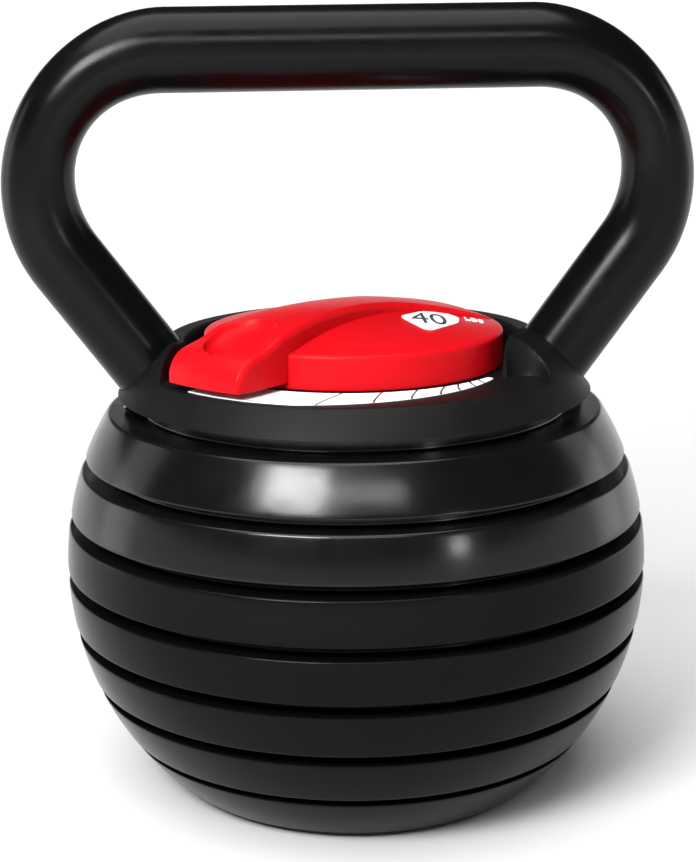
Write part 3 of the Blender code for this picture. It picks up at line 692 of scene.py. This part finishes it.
def front_outline():
    """The front opening in plan: its slanted left wall, its open front and its round right end."""
    centre = polar(OPENING_END_CENTRE, OPENING_END)
    start = polar(POCKET_RADIUS - 1.0, LEFT_WALL_START)
    points = [(0.0, 0.0), (start.x, start.y)]
    points += LEFT_WALL
    points += arc(100.0, 218.0, OPENING_END, 8)
    for x, y in arc(OPENING_END_RADIUS, OPENING_END, OPENING_END + 180, 16):
        points.append((centre.x + x, centre.y + y))
    return [Vector(point) for point in points]


FRONT_OUTLINE = front_outline()


def outside_front(place):
    """The distance from a place in plan to the front opening: 0 inside it."""
    nearest = 1000.0
    inside = False
    for start, end in zip(FRONT_OUTLINE, FRONT_OUTLINE[1:] + FRONT_OUTLINE[:1]):
        if (start.y > place.y) != (end.y > place.y):
            crossing = start.x + (place.y - start.y) * (end.x - start.x) / (end.y - start.y)
            if place.x < crossing:
                inside = not inside
        edge = end - start
        along = (place - start).dot(edge) / edge.length_squared
        foot = start + edge * min(1.0, max(0.0, along))
        nearest = min(nearest, (place - foot).length)
    return 0.0 if inside else nearest


def wall_share(radius, degrees, thickness):
    """0 over the pocket and its opening, 1 on the ball's own surface."""
    outside = radius - POCKET_RADIUS - thickness
    if outside > 0 and LEFT_WALL_START - 12 < degrees < OPENING_END + 22:
        outside = min(outside, outside_front(polar(radius, degrees).xy) - thickness)
    return smoothstep(outside / WALL_RISE)


def blend_low(first, second, reach):
    """The lower of two heights, with the corner between them rounded."""
    gap = max(reach - abs(first - second), 0.0) / reach
    return min(first, second) - gap * gap * reach * 0.25


def cover_top(radius, degrees, skin):
    """The ball's surface, cut level behind the dial."""
    ball = sphere_height(radius, skin)
    if FRONT_START < degrees < OPENING_END:
        return ball
    ear = 0.0
    if degrees > FRONT_START:
        ear = smoothstep((EAR_END + EAR_BLEND / 2 - degrees) / EAR_BLEND)
    return blend_low(COVER_TOP - (skin - COVER_SKIN) + EAR_RISE * ear, ball, 1.2)


def cover_height(radius, degrees):
    ball = cover_top(radius, degrees, COVER_SKIN)
    shelf = blend_low(POCKET_FLOOR, sphere_height(radius, COVER_SKIN), SHELF_EDGE)
    return shelf + (ball - shelf) * wall_share(radius, degrees, 0.0)


def cover_underside(radius, degrees):
    ball = cover_top(radius, degrees, COVER_SKIN + COVER_WALL)
    shelf = min(POCKET_FLOOR - 3.0, ball)
    return max(COVER_BOTTOM + 3.0, shelf + (ball - shelf) * wall_share(radius, degrees, POCKET_WALL))


def cover_angles():
    """Even steps, closer together round the ends of the front opening."""
    angles = [1.0 * i for i in range(360)]
    angles += [180 + 0.3 * i for i in range(110)]
    angles += [311 + 0.3 * i for i in range(80)]
    return sorted(set(round(angle, 3) for angle in angles))


def cover():
    """The moulding, turned from profiles that change with the angle, with its leg and screw holes."""
    outer = sphere_radius(COVER_BOTTOM, 0) - COVER_SKIN
    radii = [DIAL_HOLE, 20, 30, 40, 48, 54, 57, 59, 60.5, 61.2]
    radii += [POCKET_RADIUS + 0.19 * i for i in range(11)]
    radii += [63.8 + 0.4 * i for i in range(46)]
    radii += [82.4, 83.2, 84.5, 86, 87, outer - 0.35]
    under = [DIAL_HOLE, 25, 40, 55, 62, 63.4]
    under += [POCKET_RADIUS + POCKET_WALL + 0.32 * i for i in range(7)]
    under += [67, 70, 73, 75.9]
    angles = cover_angles()
    profile = []
    for radius in reversed(under):
        profile.append([polar(radius, a, cover_underside(radius, a)) for a in angles])
    for radius in radii:
        profile.append([polar(radius, a, cover_height(radius, a)) for a in angles])
    rim = sphere_height(outer - 0.35, COVER_SKIN)
    edge = (
        (outer - 0.05, rim - 0.35),
        (outer - 0.15, COVER_BOTTOM + 0.12),
        (outer - 0.5, COVER_BOTTOM),
        (COVER_INSIDE, COVER_BOTTOM),
    )
    for radius, height in edge:
        profile.append([polar(radius, a, height) for a in angles])
    mesh = bmesh.new()
    loops = [[mesh.verts.new(point) for point in row] for row in profile]
    for lower, upper in zip(loops, loops[1:] + loops[:1]):
        bridge(mesh, lower, upper)
    made = new_object("cover_moulding", mesh)
    for side in (-1, 1):
        hole = leg_cylinder("leg_hole", side, LEG_RADIUS + 0.4, 0.0, LEG_END)
        inside = POCKET_RADIUS + POCKET_WALL + 0.2
        carve(hole, turned("well", [(0, 100), (inside, 100), (inside, 220), (0, 220)]))
        carve(made, hole)
    for i in range(4):
        outline = [(0, 150), (SCREW_HOLE, 150), (SCREW_HOLE, 158.6)]
        outline += [(SCREW_HEAD_ROOM, 160.6), (SCREW_HEAD_ROOM, 165), (0, 165)]
        hole = turned("screw_hole", outline, 40)
        hole.data.transform(Matrix.Translation(polar(POST_CIRCLE, 45 + 90 * i) * MM))
        carve(made, hole)
    stand_in(made, "top_cover")


# ---------------------------------------------------------------- printed scale

SCALE_FIRST = 216.0
SCALE_LAST = 319.5
SCALE_INNER = 58.5
SCALE_BOTTOM = POCKET_FLOOR + 0.15
SCALE_TOP = POCKET_FLOOR + 0.4
SCALE_LINES = (  # angle at the outer edge and at the dial
    (255.4, 260.9),
    (270.2, 274.4),
    (281.2, 287.0),
    (291.0, 297.6),
    (298.7, 303.5),
    (306.0, 309.2),
    (311.5, 313.9),
)


def scale_outer(degrees):
    """The scale's outer edge, which draws in towards its last mark."""
    return min(78.0, 76.7 - 0.239 * (degrees - 255))


def ribbon(name, path, width, bottom, top):
    """A thin raised line along (x, y) points."""
    above = []
    below = []
    for i, point in enumerate(path):
        ahead = Vector(path[min(i + 1, len(path) - 1)]) - Vector(path[max(i - 1, 0)])
        side = Vector((-ahead.y, ahead.x)).normalized() * width / 2
        pair = [Vector(point) - side, Vector(point) + side]
        above.append([(p.x, p.y, top) for p in pair])
        below.append([(p.x, p.y, bottom) for p in pair])
    return sheets(name, above, below)


def printed_scale():
    """The white strip on the pocket's floor, its seven marks and the fine line near its outer edge."""
    steps = 160
    above = []
    below = []
    for i in range(steps + 1):
        degrees = SCALE_FIRST + (SCALE_LAST - SCALE_FIRST) * i / steps
        taper = min(1.0, (SCALE_LAST - degrees) / 1.2 + 0.35, (degrees - SCALE_FIRST) / 1.5 + 0.2)
        middle = (scale_outer(degrees) + SCALE_INNER) / 2
        reach = (scale_outer(degrees) - SCALE_INNER) / 2 * taper
        row = [middle - reach, middle, middle + reach]
        above.append([polar(r, degrees, SCALE_TOP) for r in row])
        below.append([polar(r, degrees, SCALE_BOTTOM) for r in row])
    stand_in(sheets("printed_scale", above, below), "weight_scale")
    for number, (outer, inner) in enumerate(SCALE_LINES, start=1):
        path = []
        for i in range(17):
            t = i / 16
            bow = 0.35 * math.sin(math.pi * t) * (inner - outer) / 5
            degrees = outer + (inner - outer) * t**1.15 - bow
            radius = scale_outer(outer) + 0.15 + (SCALE_INNER - scale_outer(outer)) * t
            point = polar(radius, degrees)
            path.append((point.x, point.y))
        line = ribbon(f"scale_line_{number}", path, 0.75, SCALE_TOP - 0.05, SCALE_TOP + 0.08)
        dress(line, INK, "head")
    border_path = []
    for i in range(61):
        degrees = 219 + 24 * i / 60
        point = polar(scale_outer(degrees) - 1.4, degrees)
        border_path.append((point.x, point.y))
    line = ribbon("scale_border", border_path, 0.5, SCALE_TOP - 0.05, SCALE_TOP + 0.08)
    dress(line, INK, "head")


# ---------------------------------------------------------------- dial


def dial_height(radius):
    """The domed face's height at a distance from the axis."""
    return DIAL_TOP + DIAL_DOME * (1 - (radius / DIAL_RADIUS) ** 2)


def dial():
    """The domed disc, hollow beneath, with the screw's room above its hexagonal bore."""
    corners = [(DIAL_RADIUS, DIAL_BOTTOM, 0.5), (DIAL_RADIUS, DIAL_TOP, 2.4)]
    corners += [(r, dial_height(r), 0.0) for r in (52.5, 49, 44, 38, 32, 26, 20, 14, 9)]
    corners += [
        (DIAL_SCREW_ROOM, dial_height(DIAL_SCREW_ROOM), 0.4),
        (DIAL_SCREW_ROOM, DIAL_SCREW_SEAT, 0.3),
        (DIAL_SCREW_HOLE, DIAL_SCREW_SEAT, 0.2),
        (DIAL_SCREW_HOLE, DIAL_HUB_BOTTOM, 0.2),
        (DIAL_HUB, DIAL_HUB_BOTTOM, 0.4),
        (DIAL_HUB, dial_height(DIAL_HUB) - DIAL_WALL, 0.6),
    ]
    corners += [(r, dial_height(r) - DIAL_WALL, 0.0) for r in (20, 30, 40, 48)]
    inside = DIAL_RADIUS - DIAL_WALL
    corners += [(inside, dial_height(inside) - DIAL_WALL, 0.6), (inside, DIAL_BOTTOM, 0.4)]
    disc = turned("dial_disc", rounded(corners, 6), 256)
    carve(disc, prism("bore", hexagon(HEX_ROOM), 150, DIAL_HEX_TOP))
    stand_in(disc, "dial")


def grip_half_width(along):
    """The waist is at the axis. The nose widens gently and the back end follows the disc."""
    if along > NOSE_FLARE_START:
        flare = GRIP_WAIST + FRONT_FLARE * NOSE_FLARE_START**2
        return flare + NOSE_FLARE * (1 - math.exp((NOSE_FLARE_START - along) / NOSE_FLARE_RUN))
    if along > 0:
        return GRIP_WAIST + FRONT_FLARE * along**2
    return min(GRIP_WAIST + BACK_FLARE * along**2, math.sqrt(GRIP_REACH**2 - along**2))


def grip_crest(along):
    """The height of the grip's centreline: highest a little in front of the axis, lower at the nose."""
    fall = FRONT_FALL if along > GRIP_APEX_AT else BACK_FALL
    end = END_FALL * max(0.0, BACK_BEND - along) ** 2
    step = NOSE_STEP * smoothstep((along - NOSE_STEP_AT) / NOSE_STEP_RUN)
    return GRIP_APEX - fall * (along - GRIP_APEX_AT) ** 2 - end - step


def grip_height(along, across):
    """The crowned top with the thumb's dish in it, before its edges are rounded."""
    top = grip_crest(along) - CROWN * across**2
    bowl = ((along - DISH_AT) / DISH_LENGTH) ** 2 + (across / DISH_WIDTH) ** 2
    if bowl < 1:
        top -= DISH_DEPTH * math.sqrt(1 - bowl)
    return top


def grip_point(along, share):
    """A point of the grip's top for a place on a plain rectangle, with its corners and edges rounded."""
    half = grip_half_width(min(along, GRIP_FRONT))
    across = abs(share) * half
    a = max(0.0, (across - (half - SIDE_ROUND)) / SIDE_ROUND)
    b = max(0.0, (along - (GRIP_FRONT - FRONT_ROUND)) / FRONT_ROUND)
    a_round = a * math.sqrt(1 - b * b / 2)
    b_round = b * math.sqrt(1 - a * a / 2)
    if a > 0:
        across = half - SIDE_ROUND + SIDE_ROUND * a_round
    place = along
    if b > 0:
        place = GRIP_FRONT - FRONT_ROUND + FRONT_ROUND * b_round
    out = min(1.0, a_round**2 + b_round**2)
    drop = 0.0
    if out > 0:
        depth = (SIDE_DROP * a_round**2 + FRONT_DROP * b_round**2) / out
        drop = depth * (1 - math.sqrt(1 - out))
    bulge = NOSE_BULGE * (1 - (across / half) ** 2) * smoothstep((along - NOSE_BULGE_AT) / NOSE_BULGE_RUN)
    return place + bulge, math.copysign(across, share), grip_height(along, across) - drop


def grip_alongs():
    """Places along the grip, close together at its back end, round the dish and on the rounded front."""
    values = [GRIP_BACK + 0.6 * i for i in range(25)]
    values += [GRIP_BACK + 15 + 1.6 * i for i in range(51)]
    value = values[-1]
    while value < GRIP_FRONT - FRONT_ROUND:
        value += 0.4
        values.append(min(value, GRIP_FRONT - FRONT_ROUND))
    for i in range(1, 13):
        values.append(GRIP_FRONT - FRONT_ROUND + FRONT_ROUND * math.sin(math.pi / 2 * i / 12))
    return values


def grip_shares(half):
    """Places across: close together on the rounded edges."""
    inner = 1 - SIDE_ROUND / half
    shares = [inner * i / 36 for i in range(-36, 37)]
    edge = [inner + (1 - inner) * math.sin(math.pi / 2 * i / 9) for i in range(1, 10)]
    return [-e for e in reversed(edge)] + shares + edge


def dial_grip():
    """The grip over the dial, seated on the dome, with the nose hanging over the scale."""
    turn = Matrix.Rotation(math.radians(DIAL_REST), 4, "Z")
    above = []
    below = []
    for along in grip_alongs():
        row = []
        floor = []
        base = NOSE_BOTTOM if along > NOSE_START else GRIP_BASE
        for share in grip_shares(grip_half_width(along)):
            x, y, z = grip_point(along, share)
            row.append(turn @ Vector((x, y, z)))
            floor.append(turn @ Vector((x, y, base)))
        above.append(row)
        below.append(floor)
    grip = sheets("dial_lever", above, below)
    reach = DIAL_RADIUS + NOSE_GAP
    seat = [(0, 150), (reach, 150), (reach, DIAL_TOP - 1.5)]
    seat += [(r, dial_height(r) + SEAT_GAP) for r in (DIAL_RADIUS - 1.2, 50, 44, 38, 32, 26, 20, 14, 8, 0)]
    carve(grip, turned("seat", seat, 256))
    for along, end in GRIP_SCREW_HOLES:
        hole = turned("screw_hole", [(0, 165), (SCREW_HOLE, 165), (SCREW_HOLE, end), (0, end)], 32)
        hole.data.transform(turn @ Matrix.Translation(Vector((along, 0.0, 0.0)) * MM))
        carve(grip, hole)
    stand_in(grip, "dial_grip", sharp=38.0)


BADGE_LIFTS = (0.08, 0.38)  # the label's lower and upper face, above the dome
INK_LIFT = 0.05
INK_THICKNESS = 0.45
LETTER_THINNING = -0.012
BADGE = (  # corners in plan and their rounding
    (16.0, -11.6, 3.0),
    (26.5, 2.0, 3.5),
    (36.0, 1.0, 2.0),
    (39.0, -5.0, 2.0),
    (37.5, -14.0, 2.0),
    (26.0, -28.5, 3.0),
    (22.5, -27.0, 2.0),
)


def badge():
    """A thin label that follows the dome, with its figures and unit printed on it."""
    outline = [Vector(point) for point in rounded(BADGE, 8)]
    centre = sum(outline, Vector((0.0, 0.0))) / len(outline)
    mesh = bmesh.new()
    layers = []
    for lift in BADGE_LIFTS:
        loops = [[mesh.verts.new((centre.x, centre.y, dial_height(centre.length) + lift))]]
        for i in range(1, 9):
            loop = []
            for point in outline:
                place = centre + (point - centre) * i / 8
                loop.append(mesh.verts.new((place.x, place.y, dial_height(place.length) + lift)))
            loops.append(loop)
        for lower, upper in zip(loops, loops[1:]):
            bridge(mesh, lower, upper)
        layers.append(loops)
    bridge(mesh, layers[0][-1], layers[1][-1])
    stand_in(new_object("badge_label", mesh), "capacity_badge")
    lettering("badge_figures", "40", 13.5, 1.75, (26.8, -12.8), INK)
    lettering("badge_unit", "LBS", 5.0, 1.5, (44.6, -4.6), FINISHES["print_white"])


def lettering(name, text, size, stretch, place, material):
    """Flat raised figures that follow the dome. They are drawn tall, to be read from the front."""
    curve = bpy.data.curves.new(name, "FONT")
    curve.body = text
    curve.size = size
    curve.align_x = "CENTER"
    curve.align_y = "CENTER"
    curve.offset = LETTER_THINNING
    curve.resolution_u = 6
    source = bpy.data.objects.new(name, curve)
    bpy.context.scene.collection.objects.link(source)
    graph = bpy.context.evaluated_depsgraph_get()
    data = bpy.data.meshes.new_from_object(source.evaluated_get(graph))
    bpy.data.objects.remove(source, do_unlink=True)
    mesh = bmesh.new()
    mesh.from_mesh(data)
    bmesh.ops.remove_doubles(mesh, verts=mesh.verts, dist=0.001)
    draw = Matrix.Translation((place[0], place[1], 0.0)) @ Matrix.Diagonal((1.0, stretch, 1.0, 1.0))
    bmesh.ops.transform(mesh, matrix=draw, verts=mesh.verts)
    raised = bmesh.ops.extrude_face_region(mesh, geom=mesh.faces[:])
    upper = [item for item in raised["geom"] if isinstance(item, bmesh.types.BMVert)]
    for vert in mesh.verts:
        vert.co.z = dial_height(Vector(vert.co[:2]).length) + INK_LIFT
    for vert in upper:
        vert.co.z += INK_THICKNESS
    made = new_object(name, mesh)
    dress(made, material, "selector")


# ---------------------------------------------------------------- selector and foot


def cam_top(number):
    """A cam's upper face, just under its plate's lip."""
    return neck_top(number) - LIP_THICKNESS - CAM_DROP


def washer(node, inner, outer, bottom, top, edge):
    corners = [(outer, bottom, edge), (outer, top, edge), (inner, top, edge), (inner, bottom, edge)]
    stand_in(turned(node + "_turned", rounded(corners, 3), SMALL_STEPS), node)


def selector():
    """The cams and spacers down the shaft, its washer and nut, the retaining ring and the bush."""
    above = HEAD_BOTTOM + TOUCH
    for number in range(1, PLATE_COUNT + 1):
        top = cam_top(number)
        washer(f"cam_spacer_{number}", SPACER_INNER, SPACER_OUTER, top + TOUCH, above - TOUCH, 0.4)
        corners = []
        for side in (0, 180):
            first = side - TAB_HALF_ANGLE
            last = side + TAB_HALF_ANGLE
            for degrees in (first, last):
                tip = polar(CAM_TIP, degrees)
                root = polar(CAM_HUB, degrees)
                pair = [(root.x, root.y, 0.8), (tip.x, tip.y, 0.7)]
                corners += pair if degrees == first else pair[::-1]
            corners += [(x, y, 0.0) for x, y in arc(CAM_HUB, last, side + 180 - TAB_HALF_ANGLE, 28)[1:-1]]
        cam = prism(f"cam_{number}_plate", rounded(corners, 3), top - CAM_THICKNESS, top, 0.35)
        bore = prism("cam_bore", hexagon(HEX_ROOM), top - 10, top + 5)
        carve(cam, bore)
        stand_in(cam, f"selector_cam_{number}", sharp=30.0)
        above = top - CAM_THICKNESS
    washer_bottom = above - TOUCH - WASHER_THICKNESS
    washer("shaft_washer", SPACER_INNER, SPACER_OUTER, washer_bottom, above - TOUCH, 0.3)
    nut_top = above - 2 * TOUCH - WASHER_THICKNESS
    nut = prism("shaft_nut_hex", hexagon(NUT_FLATS), nut_top - NUT_HEIGHT, nut_top)
    chamfer = [(0, nut_top - 7), (7.6, nut_top - 7), (11.2, nut_top - 3.6)]
    chamfer += [(11.2, nut_top - 1.9), (7.6, nut_top + 1.5), (0, nut_top + 1.5)]
    carve(nut, turned("nut_chamfer", chamfer, 96), "INTERSECT")
    carve(nut, turned("nut_thread", [(0, 0), (NUT_BORE, 0), (NUT_BORE, 12), (0, 12)], SMALL_STEPS))
    stand_in(nut, "shaft_nut", sharp=25.0)
    washer("retaining_ring", 11.9, 15.6, 128.5, 129.9, 0.25)
    corners = [
        (13.0, 130.5, 0.4),
        (16.7, 130.5, 0.5),
        (16.7, 145.1, 0.3),
        (21.0, 145.1, 0.4),
        (21.0, 147.1, 0.4),
        (13.0, 147.1, 0.4),
    ]
    stand_in(turned("bush_turned", rounded(corners, 3), SMALL_STEPS), "hub_bush")


def foot():
    corners = [
        (FOOT_BORE, 0.0, 0.5),
        (FOOT_RADIUS, 0.0, 0.7),
        (FOOT_RADIUS, FOOT_HEIGHT, 0.4),
        (FOOT_BORE, FOOT_HEIGHT, 0.4),
    ]
    stand_in(turned("foot_pad", rounded(corners, 4)), "base_pad")


def carried_over():
    """Gives every CAD node that still shows its procedural material and a small edge break."""
    for name, node in frame["nodes"].items():
        if node.hide_render:
            continue
        material = FINISHES[NODE_SLOT[name]]
        for slot in node.material_slots:
            slot.material = material
        if not node.material_slots:
            node.data.materials.append(material)
        bevel = node.modifiers.new("edge_break", "BEVEL")
        bevel.width = 0.15 * MM
        bevel.segments = 2
        bevel.limit_method = "ANGLE"
        bevel.angle_limit = math.radians(50)


# ---------------------------------------------------------------- studio


# The floor's colour near the object is painted shade. Far off, the floor is plain pale.
FLOOR_NEAR_SHADE = (0.56, 0.56, 0.563, 1.0)
FLOOR_FAR = (0.95, 0.95, 0.955)
FLOOR_NEAR_END = 0.25  # in metres, like FLOOR_FAR_START
FLOOR_FAR_START = 1.6
FLOOR_FLAT = 9000.0
FLOOR_REACH = 60000.0
FLOOR_BEND = 4000.0
FLOOR_RISE = 0.24
FLOOR_STEPS = 24
FLOOR_SPOKES = 48
WORLD_STRENGTH = 0.04
SUN_STRENGTH = 3.7
SUN_SPREAD = 60.0
SUN_TURN = (6.0, -7.0)
LIGHT_TARGET = (0.0, 0.0, 140.0)
SOFTBOXES = (  # name, place, width, height and watts
    ("key", (-560, -860, 890), 500, 360, 26.0),
    ("key_wing", (-60, -1020, 880), 760, 170, 4.5),
    ("glint", (711, -1043, 420), 100, 100, 1.3),
    ("rim_left", (-900, 300, 260), 300, 700, 0.9),
    ("rim_right", (900, 300, 260), 300, 700, 0.7),
)


def floor_material():
    """A pale floor with painted shade round the object: darker there, so that the brightly lit floor near
    it stays short of white.
    """
    made = finish("studio_floor", FLOOR_FAR, 0.7, tint=0.004, gloss=0.02, patch=0.6)
    tree = made.node_tree
    shader = tree.nodes["Principled BSDF"]
    coords = tree.nodes.new("ShaderNodeTexCoord").outputs["Object"]
    distance = tree.nodes.new("ShaderNodeVectorMath")
    distance.operation = "LENGTH"
    tree.links.new(coords, distance.inputs[0])
    spread = tree.nodes.new("ShaderNodeMapRange")
    spread.interpolation_type = "SMOOTHSTEP"
    spread.inputs["From Min"].default_value = FLOOR_NEAR_END
    spread.inputs["From Max"].default_value = FLOOR_FAR_START
    tree.links.new(distance.outputs["Value"], spread.inputs["Value"])
    mix = tree.nodes.new("ShaderNodeMix")
    mix.data_type = "RGBA"
    # Painted shade: the darker floor colour near the object.
    mix.inputs["A"].default_value = FLOOR_NEAR_SHADE
    tree.links.new(spread.outputs["Result"], mix.inputs["Factor"])
    tree.links.new(shader.inputs["Base Color"].links[0].from_socket, mix.inputs["B"])
    tree.links.new(mix.outputs["Result"], shader.inputs["Base Color"])
    return made


def stage_floor():
    """A flat floor that curves up far from the object, so that no edge of it shows."""
    mesh = bmesh.new()
    loops = [[mesh.verts.new((0.0, 0.0, 0.0))]]
    for j in range(FLOOR_STEPS + 1):
        radius = FLOOR_FLAT + (FLOOR_REACH - FLOOR_FLAT) * (j / FLOOR_STEPS) ** 2
        height = FLOOR_RISE * (math.hypot(radius - FLOOR_FLAT, FLOOR_BEND) - FLOOR_BEND)
        loop = [mesh.verts.new(polar(radius, 360 / FLOOR_SPOKES * i, height)) for i in range(FLOOR_SPOKES)]
        loops.append(loop)
    for lower, upper in zip(loops, loops[1:]):
        bridge(mesh, lower, upper)
    floor = new_object("studio_floor", mesh)
    floor.data.materials.append(floor_material())


def softbox(name, place, width, height, power):
    """A rectangular lamp turned towards the object."""
    light = bpy.data.lights.new(name, "AREA")
    light.shape = "RECTANGLE"
    light.size = width * MM
    light.size_y = height * MM
    light.energy = power
    made = bpy.data.objects.new(name, light)
    made.location = Vector(place) * MM
    aim = (Vector(LIGHT_TARGET) - Vector(place)).normalized()
    made.rotation_mode = "QUATERNION"
    made.rotation_quaternion = aim.to_track_quat("-Z", "Y")
    bpy.context.scene.collection.objects.link(made)


def studio():
    """A faint even sky, one broad overhead lamp and the softboxes."""
    world = bpy.data.worlds.new("studio")
    bpy.context.scene.world = world
    world.use_nodes = True
    background = world.node_tree.nodes["Background"]
    background.inputs["Color"].default_value = (1.0, 1.0, 1.0, 1.0)
    background.inputs["Strength"].default_value = WORLD_STRENGTH
    overhead = bpy.data.lights.new("overhead", "SUN")
    overhead.energy = SUN_STRENGTH
    overhead.angle = math.radians(SUN_SPREAD)
    lamp = bpy.data.objects.new("overhead", overhead)
    lamp.rotation_euler = (math.radians(SUN_TURN[0]), math.radians(SUN_TURN[1]), 0.0)
    bpy.context.scene.collection.objects.link(lamp)
    for name, place, width, height, power in SOFTBOXES:
        softbox(name, place, width, height, power)
    bpy.context.scene.view_settings.view_transform = "Standard"


CAMERA_DISTANCE = 695.9
CAMERA_HEIGHT = 301.1
CAMERA_PITCH = 13.54
CAMERA_PAN = -0.206
CAMERA_ROLL = -0.691
OBJECT_YAW = 4.915
SENSOR = 36.0
LENS = 79.17


def camera():
    """In front of the object, a little above it, looking slightly down."""
    data = bpy.data.cameras.new("camera")
    data.sensor_fit = "AUTO"
    data.sensor_width = SENSOR
    data.lens = LENS
    data.clip_end = 200.0
    made = bpy.data.objects.new("camera", data)
    yaw = math.radians(OBJECT_YAW)
    place = Vector((-math.sin(yaw) * CAMERA_DISTANCE, -math.cos(yaw) * CAMERA_DISTANCE, CAMERA_HEIGHT))
    turn = Matrix.Rotation(-math.radians(CAMERA_PAN + OBJECT_YAW), 4, "Z")
    turn @= Matrix.Rotation(math.radians(90 - CAMERA_PITCH), 4, "X")
    turn @= Matrix.Rotation(math.radians(CAMERA_ROLL), 4, "Z")
    made.matrix_world = Matrix.Translation(place * MM) @ turn
    bpy.context.scene.collection.objects.link(made)
    bpy.context.scene.camera = made


def main():
    handle()
    head()
    cover()
    printed_scale()
    dial()
    dial_grip()
    badge()
    selector()
    for number in range(1, PLATE_COUNT + 1):
        weight_plate(number)
    foot()
    carried_over()
    stage_floor()
    studio()
    camera()


main()
